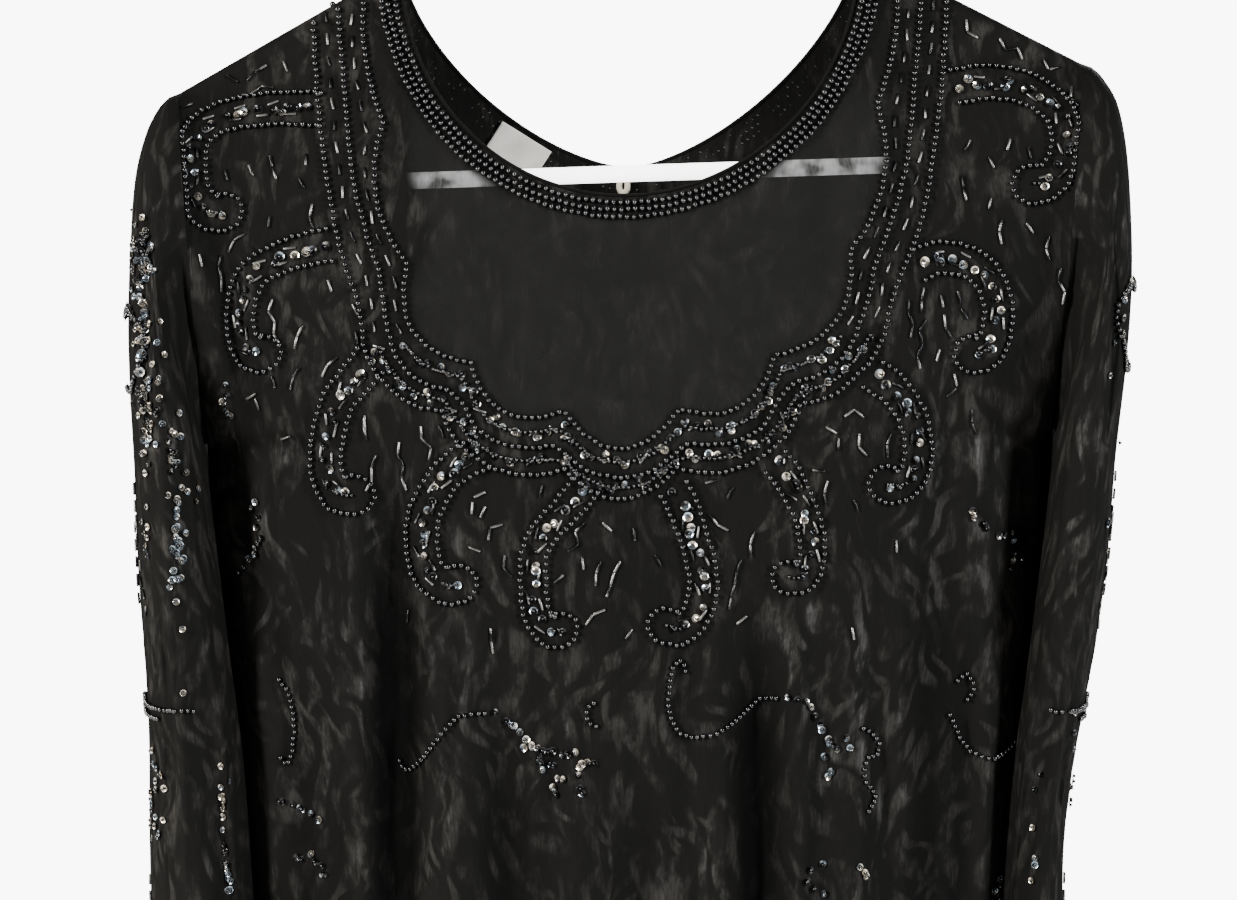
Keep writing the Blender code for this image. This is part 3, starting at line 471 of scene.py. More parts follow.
BACK_SCROLLS = (  # x, height, size, lean in degrees
    (-96.0, -250.0, 32.0, 12.0),
    (92.0, -246.0, 32.0, -12.0),
    (0.0, -300.0, 34.0, 4.0),
    (-60.0, -390.0, 30.0, -8.0),
    (70.0, -400.0, 30.0, 10.0),
    (-116.0, -500.0, 28.0, 6.0),
    (8.0, -500.0, 32.0, 0.0),
    (122.0, -520.0, 26.0, -10.0),
)
SKIRT_SCROLLS = (  # x, height, size, lean in degrees
    (-130.0, -720.0, 34.0, 8.0),
    (-44.0, -760.0, 36.0, -6.0),
    (48.0, -715.0, 34.0, 12.0),
    (132.0, -770.0, 32.0, -8.0),
    (-90.0, -880.0, 36.0, 4.0),
    (14.0, -900.0, 36.0, -10.0),
    (104.0, -890.0, 34.0, 6.0),
)

SLEEVE_FRONT_SEQUINS = (  # from the middle, height, spread sideways, up and down, left and right count
    (217.0, -131.0, 6.0, 19.0, 74, 0),
    (215.5, -162.0, 6.5, 10.0, 30, 0),
    (214.0, -199.0, 5.5, 22.0, 60, 3),
    (202.5, -221.0, 3.0, 22.0, 18, 0),
    (200.0, -262.0, 2.6, 34.0, 34, 0),
    (190.5, -239.0, 3.5, 12.0, 6, 3),
    (214.0, -258.0, 2.5, 14.0, 8, 6),
    (203.0, -362.0, 2.6, 34.0, 0, 14),
    (211.0, -379.0, 5.0, 24.0, 26, 0),
    (181.0, -374.0, 1.8, 18.0, 9, 2),
    (179.0, -404.0, 3.0, 14.0, 12, 4),
    (196.0, -470.0, 12.0, 18.0, 18, 14),
    (190.0, -560.0, 10.0, 20.0, 16, 14),
)
SLEEVE_BACK_SEQUINS = (  # turn, height, turn spread, height spread, count
    (-84.0, -190.0, 22.0, 30.0, 18),
    (-98.0, -330.0, 22.0, 30.0, 16),
    (-88.0, -480.0, 22.0, 20.0, 14),
)
SLEEVE_EDGE_ROOM = 3.6
SLEEVE_BEAD_RINGS = (  # height, first turn, last turn
    (-334.0, 30.0, 96.0),
    (-338.5, 24.0, 80.0),
)
SLEEVE_CURL = (  # turn, height
    (44.0, -156.0),
    (62.0, -152.0),
    (78.0, -160.0),
    (80.0, -176.0),
    (72.0, -190.0),
    (58.0, -188.0),
)
SLEEVE_BUGLE_LINES = (  # turn, height, count
    (60.0, -232.0, 4),
    (48.0, -250.0, 5),
    (70.0, -268.0, 4),
    (40.0, -410.0, 5),
)

# The label and the loop inside the back neck
LABEL_WIDTH = 26.5
LABEL_DROP = 22.0
LABEL_CENTRE_X = -45.5
LABEL_PROBE = 2.0
LABEL_BELOW_EDGE = 2.0
LABEL_INSIDE = 1.5
LABEL_CURL = 0.5
LABEL_RIPPLE = 0.25
LABEL_RIPPLE_TURN = 0.45
LABEL_THICKNESS_M = 0.0006
LOOP_HALF_WIDTH = 3.6
LOOP_TOP_Z = -95.5
LOOP_BOTTOM_Z = -106.0
LOOP_TAPE = 1.3
LOOP_CENTRE_X = -3.0
LOOP_STEPS = 40
LOOP_SIDES = 12
LOOP_NARROWEST = 0.55
LOOP_WIDENING = 0.45
LOOP_INSIDE = 1.6
LOOP_BELOW_EDGE = 2.0

# Small trimming
BEAD_SWAY_M = 0.00032
BEAD_FLATNESS = 0.86
BEAD_RINGS = (14.0, 42.0, 68.0, 90.0, 112.0, 138.0, 166.0)
BEAD_SIDES = 10
BUGLE_SIDES = 8
SEQUIN_SIDES = 12
SEQUIN_RINGS = (  # radius and height as shares of half the width: hole, flat and rim
    (0.16, 0.0),
    (0.46, 0.02),
    (1.0, 0.26),
)

# How finely the pieces are made
TOP_DROPS = (0.0, 0.5, 1.2, 2.2, 3.5, 5.0, 7.0, 9.5, 13.0)
BODY_ROWS_START_Z = -74.0
SLEEVE_AROUND = 132
SLEEVE_STEPS = 12
SKIRT_ACROSS = 300
SKIRT_DOWN = 90
EDGE_SIDES = 8
TUBE_SIDES = 24
UNSCALED = (1.0, 1.0, 1.0)

# The camera looks straight at the front, with the neck at the top of the frame
FRAME_WIDTH = 556.65
FRAME_CENTRE = (-5.2, -351.4)
CAMERA_DISTANCE = 3200.0
SENSOR_WIDTH = 36.0
WHITE_STRENGTH = 9.0
ROOM_STRENGTH = 0.14
CLIP_START_M = 0.1
CLIP_END_M = 60.0
FLOOR_HALF_M = 4.0
FLOOR_DROP_M = 0.25
LIGHT_TARGET_M = (0.0, 0.0, -0.34)
LIGHTS = (  # name, place, power, width, height, colour
    ("key_left", (-2.0, -1.6, 0.35), 150.0, 0.36, 1.5, (1.0, 0.985, 0.96)),
    ("key_right", (2.0, -1.7, 0.30), 124.0, 0.34, 1.5, (0.97, 0.985, 1.0)),
    ("rim_left", (-1.9, 0.0, 0.0), 34.0, 0.8, 1.6, (1.0, 0.94, 0.86)),
    ("rim_right", (2.1, 0.2, 0.0), 16.0, 0.5, 1.6, (1.0, 0.98, 0.96)),
    ("back_fill", (0.3, 2.4, 0.8), 60.0, 1.6, 1.2, (1.0, 1.0, 1.0)),
)


# Small helpers for numbers and paths


def ease(start, end, value):
    """0 at start, 1 at end, with level ends."""
    part = np.clip((value - start) / (end - start), 0.0, 1.0)
    return part * part * (3.0 - 2.0 * part)


def smooth_line(points, steps):
    """A smooth line through a few points, with steps between each two of them."""
    points = np.asarray(points, float)
    padded = np.vstack([2.0 * points[0] - points[1], points, 2.0 * points[-1] - points[-2]])
    t = (np.arange(steps) / steps)[:, None]
    line = []
    for a, b, c, d in zip(padded, padded[1:], padded[2:], padded[3:]):
        bend = (2.0 * a - 5.0 * b + 4.0 * c - d) * t * t + (3.0 * b - a - 3.0 * c + d) * t ** 3
        line.append(0.5 * (2.0 * b + (c - a) * t + bend))
    line.append(points[-1:])
    return np.vstack(line)


def offset_line(line, distance):
    """A flat line moved sideways, to its left for a positive distance."""
    line = np.asarray(line, float)
    along = np.gradient(line, axis=0)
    along /= np.linalg.norm(along, axis=1)[:, None]
    return line + np.stack([-along[:, 1], along[:, 0]], axis=1) * distance


# The cloth's form


def half_width(z):
    """Half the bodice's width at a height."""
    rows = np.array(HALF_WIDTHS)[::-1]
    return np.interp(z, rows[:, 0], rows[:, 1])


def shoulder_z(x):
    """Height of the shoulder seam, level inside the neck points."""
    return -np.maximum(0.0, np.abs(x) - NECK_HALF) * SHOULDER_SLOPE


def top_z(x, front):
    """Height of a panel's top edge: neckline inside the neck points, shoulder seam outside them."""
    depth = FRONT_NECK_DEPTH if front else BACK_NECK_DEPTH
    power = FRONT_NECK_POWER if front else BACK_NECK_POWER
    inner = np.maximum(0.0, 1.0 - (np.abs(x) / NECK_HALF) ** power)
    return np.where(np.abs(x) >= NECK_HALF, shoulder_z(x), -depth * inner ** (1.0 / power))


def armhole_depth(z):
    """Half the armhole's opening from front to back at a height."""
    middle = shoulder_z(SHOULDER_HALF) - ARMHOLE_HEIGHT / 2.0
    inner = 1.0 - ((z - middle) / (ARMHOLE_HEIGHT / 2.0)) ** 2
    return ARMHOLE_HALF_DEPTH * np.sqrt(np.maximum(0.0, inner))


def cover_depth(x, z):
    """How far cloth that lies round the hanger's arm stands from the middle plane."""
    over_tube = np.minimum(1.0, np.maximum(0.0, shoulder_z(x) - z) / TUBE_COVER_HEIGHT)
    return TUBE_COVER * np.sqrt(1.0 - (1.0 - over_tube) ** 2)


def fold_depth(folds, x, z):
    """How far the large hanging folds set the cloth back."""
    depth = np.zeros(np.broadcast(x, z).shape)
    for top_x, start_z, low_x, deep, half in folds:
        along = np.maximum(0.0, (start_z - z) / (start_z - WAIST_SEAM_Z))
        offset = np.clip((x - top_x - (low_x - top_x) * along) / half, -1.6, 1.6)
        depth += deep * np.cos(offset * math.pi / 3.2) ** 2 * ease(0.0, 0.30, along)
    return depth


def crease_depth(creases, x, z, x_scale=1.0):
    """Soft troughs and ridges along short lines, tapering at both ends."""
    depth = np.zeros(np.broadcast(x, z).shape)
    for x0, z0, x1, z1, deep, half in creases:
        run_x, run_z = (x1 - x0) * x_scale, z1 - z0
        length = math.hypot(run_x, run_z)
        rel_x, rel_z = (x - x0) * x_scale, z - z0
        along = (rel_x * run_x + rel_z * run_z) / length
        across = (rel_z * run_x - rel_x * run_z) / length
        across = across + 0.18 * half * np.sin(along * 0.045 + x0)
        taper = np.minimum(ease(-6.0, 0.32 * length, along), ease(length + 6.0, 0.74 * length, along))
        offset = np.clip(across / half, -1.6, 1.6)
        depth += deep * np.cos(offset * math.pi / 3.2) ** 2 * taper
    return depth


def crinkle(x, z, seed):
    """Fine unevenness of soft silk, about half a millimetre."""
    return (
        0.34 * np.sin(x * 0.31 + seed + 1.7 * np.sin(z * 0.021 + seed))
        + 0.26 * np.sin(x * 0.53 - z * 0.067 + 2.3 * seed)
        + 0.22 * np.sin(z * 0.17 + 1.2 * np.sin(x * 0.12 - seed))
    )


def body_depth(x, z, front):
    """Distance of the front or back from the middle plane, with its folds and creases."""
    edge = armhole_depth(z)
    share = np.minimum(1.0, np.abs(x) / half_width(z))
    roundness = np.maximum(0.0, 1.0 - share ** SECTION_POWER) ** (1.0 / SECTION_POWER)
    free = np.maximum(0.0, shoulder_z(x) - z - TUBE_COVER_HEIGHT)
    fall = (FRONT_FALL if front else BACK_FALL) * (1.0 - np.exp(-free / FALL_LENGTH))
    middle = cover_depth(x, z) + fall - fold_depth(FRONT_FOLDS if front else BACK_FOLDS, x, z)
    rounded = edge + (middle - edge) * roundness
    resting = cover_depth(x, z) * ease(COVER_END_Z, COVER_FULL_Z, z)
    settled = ease(0.0, 0.12, 1.0 - share) * ease(2.0, 26.0, top_z(x, front) - z)
    settled = settled * ease(WAIST_SEAM_Z, WAIST_SEAM_Z + 14.0, z)
    creases = crease_depth(FRONT_CREASES if front else BACK_CREASES, x, z)
    fine = crinkle(x, z, 0.4 if front else 2.2) * ease(-100.0, -230.0, z)
    return np.maximum(rounded, resting) - (creases + fine) * settled


def placed(x, y, z):
    """Points of the garment's own frame, leaned with the shoulders and in metres."""
    x, y, z = np.broadcast_arrays(x, y, z)
    lean = x * LEAN * ease(LEAN_END_Z, LEAN_FULL_Z, z)
    return np.stack([x, y, z + lean + NECK_POINT_Z], axis=-1) * MM


def body_grid(front, neck_steps, shoulder_steps, levels):
    """Rows of points of a front or back, from its top edge down to the waist seam."""
    angles = np.linspace(0.0, math.pi / 2.0, neck_steps)
    parts = 1.0 - (1.0 - np.arange(1, shoulder_steps + 1) / shoulder_steps) ** 1.4
    half = np.concatenate([NECK_HALF * np.sin(angles), NECK_HALF + (SHOULDER_HALF - NECK_HALF) * parts])
    share = np.concatenate([-half[:0:-1], half]) / SHOULDER_HALF
    top = top_z(share * SHOULDER_HALF, front)
    drops = np.array(TOP_DROPS)[:, None]
    lower = np.linspace(BODY_ROWS_START_Z, WAIST_SEAM_Z, levels)[:, None]
    offset = top - shoulder_z(SHOULDER_HALF)
    z = np.vstack([top - drops, lower + offset * ease(-300.0, -75.0, lower)])
    width = half_width(z) + (SHOULDER_HALF - half_width(z)) * ease(60.0, 0.0, top - z)
    width[:, [0, -1]] = half_width(z[:, [0, -1]])
    x = share * width
    depth = body_depth(x, z, front)
    depth[0, np.abs(x[0]) >= NECK_HALF - 0.01] = 0.0
    return x, depth * (-1.0 if front else 1.0), z


def sleeve_grid(rows, side, around, steps):
    """Rings of points of a sleeve, from the armhole over the sleeve head to the cuff."""
    table = smooth_line(rows, steps)
    turn = np.linspace(0.0, 2.0 * math.pi, around, endpoint=False)[None, :]
    outer_x, outer_z, inner_x, inner_z, depth, back = (table[:, i:i + 1] for i in range(6))
    closing = ease(-216.0, -262.0, inner_z) * ease(-640.0, -560.0, inner_z)
    inner_x = inner_x - SLEEVE_LEANS_IN * closing
    power = 2.0 / SLEEVE_POWER
    across = np.sign(np.cos(turn)) * np.abs(np.cos(turn)) ** power
    along = np.sign(np.sin(turn)) * np.abs(np.sin(turn)) ** power
    hanging = ease(-150.0, -330.0, outer_z)
    ripple = SLEEVE_RIPPLE_DEPTH * hanging * np.sin(SLEEVE_RIPPLES * turn * 2.0 + outer_z / 60.0)
    x = (outer_x + inner_x) / 2.0 + (outer_x - inner_x) / 2.0 * across
    x = x - np.abs(ripple) * np.maximum(0.0, across) * np.abs(along)
    z = (outer_z + inner_z) / 2.0 + (outer_z - inner_z) / 2.0 * across
    y = back - (depth - np.abs(ripple) * 0.5) * along
    degrees = np.degrees(np.where(turn > math.pi, turn - 2.0 * math.pi, turn)) + 0.0 * z
    soft = ease(-70.0, -110.0, z) * ease(-618.0, -596.0, z) * ease(0.02, 0.4, np.abs(along))
    dent = crease_depth(SLEEVE_CREASES, degrees, z, 1.0) * soft
    dent = dent + crinkle(degrees * 1.2, z, 1.1 + side) * soft
    y = y + np.sign(along) * dent * (0.4 + 0.6 * np.abs(along))
    x = x - np.maximum(0.0, across) * np.abs(dent) * 0.25
    beside = ease(0.30, 0.62, np.abs(along)) * ease(0.05, -0.35, across)
    x = x - SLEEVE_OVERLAP * beside * ease(-212.0, -230.0, inner_z)
    hole_z = shoulder_z(SHOULDER_HALF) - ARMHOLE_HEIGHT / 2.0 * (1.0 - np.cos(turn))
    hole_y = -ARMHOLE_HALF_DEPTH * np.sin(turn)
    hole_x = half_width(hole_z)
    x = np.vstack([hole_x, x])
    y = np.vstack([hole_y, y])
    z = np.vstack([hole_z, z])
    return side * x, y, z


def skirt_grid(front, across, down):
    """A gathered panel from the waist seam to the hem."""
    level = np.linspace(0.0, 1.0, down)[:, None]
    turn = np.linspace(0.0, math.pi, across)[None, :]
    z = WAIST_SEAM_Z + (HEM_Z - WAIST_SEAM_Z) * level
    opened = level ** 0.8
    fall = FRONT_FALL if front else BACK_FALL
    folds = FRONT_FOLDS if front else BACK_FOLDS
    free = shoulder_z(0.0) - WAIST_SEAM_Z - TUBE_COVER_HEIGHT
    waist_depth = TUBE_COVER + fall * (1.0 - math.exp(-free / FALL_LENGTH))
    waist_depth = waist_depth - fold_depth(folds, np.zeros(1), np.full(1, WAIST_SEAM_Z + 1.0))[0]
    width = HALF_WIDTHS[-1][1] + (HEM_HALF - HALF_WIDTHS[-1][1]) * opened
    depth = waist_depth + ((HEM_FRONT_DEPTH if front else HEM_BACK_DEPTH) - waist_depth) * opened
    share = -np.sign(np.cos(turn)) * np.abs(np.cos(turn)) ** (2.0 / SECTION_POWER)
    bow = np.abs(np.sin(turn))
    bow[0, [0, -1]] = 0.0
    roundness = bow ** (2.0 / SECTION_POWER)
    uneven = 0.75 + 0.25 * np.sin(2.3 * turn + (0.6 if front else 2.1))
    wave = np.sin(2.0 * SKIRT_WAVES * turn)
    lift = SKIRT_WAVE_DEPTH * uneven * wave * ease(0.0, 0.9, level) * bow ** 0.5
    gathers = 1.1 * np.sin(turn * 74.0 + 1.3 * np.sin(turn * 19.0)) * ease(0.16, 0.01, level)
    fine = crinkle(share * width, z, 3.3) * ease(0.0, 0.1, level)
    y = (depth + lift + gathers * ease(0.0, 0.02, level) + fine) * roundness
    x = share * width * (1.0 + 0.18 * lift / width)
    return x, y * (-1.0 if front else 1.0), z + 0.0 * x


def gathered(x, z, front):
    """How much painted shade darkens the cloth: 1 at the bottom of the deepest folds, 0 on flat cloth."""
    folds = fold_depth(FRONT_FOLDS if front else BACK_FOLDS, x, z)
    creases = crease_depth(FRONT_CREASES if front else BACK_CREASES, x, z)
    return np.clip((folds + 1.4 * creases) / FULL_FOLD_DEPTH, -0.4, 1.0)


def yoke_share(x, z):
    """1 on the plain sheer yoke between the neck band and the yoke band, 0 elsewhere."""
    rows = np.array(YOKE_MIDDLE)[::-1]
    heights = np.minimum.accumulate(rows[::-1, 1])[::-1]
    left_inset = SHEER_LEFT_INSET * ease(0.0, -60.0, x) * ease(-150.0, -120.0, z)
    reach = np.interp(z, heights, rows[:, 0]) - SHEER_INSET - left_inset
    beside_neck = np.hypot(x / (NECK_HALF + NECK_BAND_WIDTH), z / (FRONT_NECK_DEPTH + NECK_BAND_WIDTH))
    below_shoulder = ease(SHEER_TOP_Z + 20.0, SHEER_TOP_Z - 10.0, z)
    inside = ease(-5.0, 5.0, reach - np.abs(x)) * ease(-236.0, -228.0, z)
    return inside * below_shoulder * ease(0.99, 1.01, beside_neck)


# Making meshes


def new_object(name, mesh, material, body="root"):
    """Puts a mesh in the scene with its material, riding with its body."""
    mesh.materials.append(material)
    piece = bpy.data.objects.new(name, mesh)
    bpy.context.scene.collection.objects.link(piece)
    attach(piece, body)
    return piece


def cloth_piece(name, grid, closed, material, yoke=None, folds=None):
    """A thin sheet through a grid of points, with the cloth's own centimetres as its UV map.

    Two attributes tell the material where the sheer yoke lies and where painted shade darkens the folds.
    """
    x, y, z = grid
    points = placed(x, y, z)
    rows, count = x.shape
    spans = count if closed else count - 1
    r, c = np.meshgrid(np.arange(rows - 1), np.arange(spans), indexing="ij")
    a = r * count + c
    b = r * count + (c + 1) % count
    faces = np.stack([a, a + count, b + count, b], axis=-1).reshape(-1, 4)
    mesh = bpy.data.meshes.new(name)
    mesh.from_pydata(points.reshape(-1, 3).tolist(), [], faces.tolist())
    wrapped = np.concatenate([points, points[:, :1]], axis=1) if closed else points
    steps = np.linalg.norm(np.diff(wrapped[:, :, :2], axis=1), axis=2) * 100.0
    across = np.concatenate([np.zeros((rows, 1)), np.cumsum(steps, axis=1)], axis=1)
    across -= across[:, across.shape[1] // 2][:, None]
    down = wrapped[:, :, 2] * 100.0
    corners = ((r, c), (r + 1, c), (r + 1, c + 1), (r, c + 1))
    uv = np.stack([np.stack([across[i, j], down[i, j]], axis=-1) for i, j in corners], axis=2)
    layer = mesh.uv_layers.new(name="cloth")
    layer.data.foreach_set("uv", uv.reshape(-1).astype(np.float32))
    for key, shares in (("yoke", yoke), ("fold", folds)):
        attribute = mesh.attributes.new(key, "FLOAT", "POINT")
        shares = np.zeros(x.shape) if shares is None else shares
        attribute.data.foreach_set("value", shares.reshape(-1).astype(np.float32))
    mesh.shade_smooth()
    return new_object(name, mesh, material)


def search_of(piece):
    """A search tree of a piece's faces, for rays."""
    points = [vertex.co.copy() for vertex in piece.data.vertices]
    faces = [tuple(face.vertices) for face in piece.data.polygons]
    return BVHTree.FromPolygons(points, faces)


class Ground:
    """A cloth piece to lay beads on, found by rays from inside the garment."""

    def __init__(self, name, way):
        self.tree = search_of(bpy.data.objects[name])
        self.way = way

    def at(self, x, z):
        """The point under a place in front or back view, and the direction out of the cloth."""
        start = Vector(placed(x, 0.0, z))
        hit, normal, _face, _far = self.tree.ray_cast(start, Vector((0.0, self.way, 0.0)))
        if hit is None:
            return None
        return hit, normal if normal.y * self.way > 0.0 else -normal


class SleeveGround:
    """A sleeve to lay beads on, found by rays from its own middle line."""

    def __init__(self, name, rows, side):
        self.tree = search_of(bpy.data.objects[name])
        self.rows = np.array(rows)
        self.side = side

    def at(self, turn, z):
        """The point under a turn in degrees and a height, and the direction out of the cloth."""
        heights = (self.rows[::-1, 1] + self.rows[::-1, 3]) / 2.0
        middle = np.interp(z, heights, (self.rows[::-1, 0] + self.rows[::-1, 2]) / 2.0)
        back = np.interp(z, heights, self.rows[::-1, 5])
        start = Vector(placed(self.side * middle, back, z))
        angle = math.radians(turn)
        way = Vector((self.side * math.cos(angle), -math.sin(angle), 0.0))
        hit, normal, _face, _far = self.tree.ray_cast(start, way)
        if hit is None:
            return None
        return hit, normal if normal.dot(way) > 0.0 else -normal


def laid(ground, line):
    """The line's places on the cloth, leaving out those past its edge."""
    return [found for found in (ground.at(float(a), float(b)) for a, b in line) if found]


def spaced(places, pitch):
    """Even places along a laid line, each as point, outward direction and direction along."""
    if len(places) < 2:
        return []
    points = np.array([p for p, _n in places])
    normals = np.array([n for _p, n in places])
    travel = np.concatenate([[0.0], np.cumsum(np.linalg.norm(np.diff(points, axis=0), axis=1))])
    stops = np.arange(0.5 * pitch, travel[-1], pitch)
    found = []
    for stop in stops:
        point = Vector([np.interp(stop, travel, points[:, i]) for i in range(3)])
        ahead = Vector([np.interp(stop + pitch * 0.3, travel, points[:, i]) for i in range(3)])
        behind = Vector([np.interp(stop - pitch * 0.3, travel, points[:, i]) for i in range(3)])
        normal = Vector([np.interp(stop, travel, normals[:, i]) for i in range(3)]).normalized()
        along = ahead - behind
        if along.length > 0.0:
            found.append((point, normal, along.normalized()))
    return found


def turned_shape(profile, sides):
    """A shape turned about its own X axis from (place along, radius) points, closed where the radius is 0."""
    points = []
    for along, radius in profile:
        for side in range(sides):
            turn = 2.0 * math.pi * side / sides
            points.append((along, radius * math.cos(turn), radius * math.sin(turn)))
    faces = []
    for ring in range(len(profile) - 1):
        for side in range(sides):
            following = (side + 1) % sides
            start, end = ring * sides, (ring + 1) * sides
            faces.append((start + side, end + side, end + following, start + following))
    return np.array(points), faces


def bead_shape(diameter):
    """A round bead, a little flattened towards its thread hole."""
    half = diameter / 2.0
    angles = [math.radians(angle) for angle in BEAD_RINGS]
    profile = [(-BEAD_FLATNESS * half * math.cos(a), half * math.sin(a)) for a in angles]
    first_hole, last_hole = (-0.50 * half, half * 0.22), (0.50 * half, half * 0.22)
    return turned_shape([first_hole, *profile, last_hole], BEAD_SIDES)


def bugle_shape(length, diameter):
    """A straight glass tube bead with softly broken ends and an open bore."""
    half, radius = length / 2.0, diameter / 2.0
    profile = (
        (-half + radius, radius * 0.45),
        (-half, radius * 0.5),
        (-half, radius * 0.86),
        (-half + radius * 0.25, radius),
        (half - radius * 0.25, radius),
        (half, radius * 0.86),
        (half, radius * 0.5),
        (half - radius, radius * 0.45),
    )
    return turned_shape(profile, BUGLE_SIDES)


def sequin_shape(diameter):
    """A cupped sequin with a thread hole, a small flat and a faceted rim, lying in its XY plane."""
    half = diameter / 2.0
    sides = SEQUIN_SIDES
    points = []
    for radius, height in SEQUIN_RINGS:
        for side in range(sides):
            turn = 2.0 * math.pi * (side + 0.5 * (radius == 1.0)) / sides
            points.append((half * radius * math.cos(turn), half * radius * math.sin(turn), half * height))
    faces = []
    for ring in range(2):
        for side in range(sides):
            following = (side + 1) % sides
            start, end = ring * sides, (ring + 1) * sides
            faces.append((start + side, end + side, end + following, start + following))
    return np.array(points), faces


class Trimming:
    """Many small copies joined in one mesh."""

    def __init__(self):
        self.points = []
        self.faces = []
        self.total = 0

    def add(self, shape, point, x_axis, z_axis, lift=0.0, scale=1.0):
        points, faces = shape
        z_axis = z_axis.normalized()
        x_axis = (x_axis - z_axis * x_axis.dot(z_axis)).normalized()
        y_axis = z_axis.cross(x_axis)
        turn = np.array([x_axis, y_axis, z_axis])
        self.points.append(points * scale @ turn + np.array(point + z_axis * lift))
        self.faces.extend(tuple(self.total + i for i in face) for face in faces)
        self.total += len(points)

    def piece(self, name, material, slot, smooth=True):
        mesh = bpy.data.meshes.new(name)
        mesh.from_pydata(np.vstack(self.points).tolist(), [], self.faces)
        if smooth:
            mesh.shade_smooth()
            mesh.set_sharp_from_angle(angle=math.radians(50.0))
        return new_object(name, mesh, material)


class Beadwork:
    """Beads, bugles and sequins of one piece of embroidery, laid on cloth."""

    def __init__(self, ground, sizes, seed):
        self.ground = ground
        self.bead_size = sizes.bead_diameter
        self.pitch = sizes.bead_pitch
        self.bugle_size = (sizes.bugle_length, sizes.bugle_diameter)
        self.sequin_size = sizes.sequin_diameter
        self.bead = bead_shape(sizes.bead_diameter)
        self.bugle = bugle_shape(sizes.bugle_length, sizes.bugle_diameter)
        self.sequin = sequin_shape(sizes.sequin_diameter)
        self.glass = Trimming()
        self.tubes = Trimming()
        self.discs = Trimming()
        self.chance = random.Random(seed)

    def row(self, line, scale=1.0):
        """A row of round beads along a line. The scale is that of both the beads and their pitch."""
        for point, normal, along in spaced(laid(self.ground, line), self.pitch * scale):
            size = scale * self.chance.uniform(0.93, 1.05)
            sway = along.cross(normal) * self.chance.uniform(-BEAD_SWAY_M, BEAD_SWAY_M)
            self.glass.add(self.bead, point + sway, along, normal, self.bead_size * scale * 0.46, size)

    def bugles_along(self, line, pitch_m, stray=9.0):
        """Bugles lying end to end along a line, with room between them."""
        for point, normal, along in spaced(laid(self.ground, line), pitch_m):
            turn = Matrix.Rotation(math.radians(self.chance.uniform(-stray, stray)), 3, normal)
            size = self.chance.uniform(0.86, 1.06)
            self.tubes.add(self.bugle, point, turn @ along, normal, self.bugle_size[1] * 0.55, size)

    def chain(self, x, z, heading, zigzag, count):
        """A zigzag of bugles from a place on the cloth."""
        step = self.bugle_size[0] / MM * 1.05
        for index in range(count):
            swing = zigzag if index % 2 else -zigzag
            angle = math.radians(heading + swing + self.chance.uniform(-9.0, 9.0))
            end_x, end_z = x + step * math.cos(angle), z + step * math.sin(angle)
            found, end = self.ground.at((x + end_x) / 2.0, (z + end_z) / 2.0), self.ground.at(end_x, end_z)
            if not found or not end:
                return
            point, normal = found
            self.tubes.add(self.bugle, point, end[0] - point, normal, self.bugle_size[1] * 0.6)
            x, z = end_x, end_z

    def sequin_at(self, x, z, tilt=24.0, scale=1.0):
        """One sequin, tipped a little on its thread."""
        found = self.ground.at(x, z)
        if not found:
            return
        point, normal = found
        sideways = normal.orthogonal()
        sideways = Matrix.Rotation(self.chance.uniform(0.0, 2.0 * math.pi), 3, normal) @ sideways
        tip = Matrix.Rotation(math.radians(self.chance.uniform(-tilt, tilt)), 3, sideways)
        size = scale * self.chance.uniform(0.86, 1.06)
        self.discs.add(self.sequin, point, sideways, tip @ normal, SEQUIN_LIFT * MM, size)
        small = self.bead_size * 0.5
        self.glass.add(self.bead, point, sideways, normal, SEQUIN_LIFT * MM + small * 0.6, 0.5)

    def sequins_along(self, line, pitch, stray=1.0, scale=1.0):
        """Sequins along a line, strewn a little to each side."""
        line = np.asarray(line, float)
        travel = np.concatenate([[0.0], np.cumsum(np.linalg.norm(np.diff(line, axis=0), axis=1))])
        for stop in np.arange(pitch * 0.4, travel[-1], pitch):
            x = np.interp(stop, travel, line[:, 0]) + self.chance.uniform(-stray, stray)
            z = np.interp(stop, travel, line[:, 1]) + self.chance.uniform(-stray, stray)
            self.sequin_at(float(x), float(z), scale=scale)

    def finish(self, name, materials, node=None, film="dark_sequin"):
        """Makes the glass and sequin pieces, which stand for a node where one is named."""
        made = []
        if self.glass.points:
            made.append(self.glass.piece(f"{name}_beads", materials["bead_glass"], "bead_glass"))
        if self.tubes.points:
            made.append(self.tubes.piece(f"{name}_bugles", materials["bugle_glass"], "bead_glass"))
        if self.discs.points:
            made.append(self.discs.piece(f"{name}_sequins", materials[film], "bead_glass", smooth=False))
        if node:
            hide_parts(node)
        return made


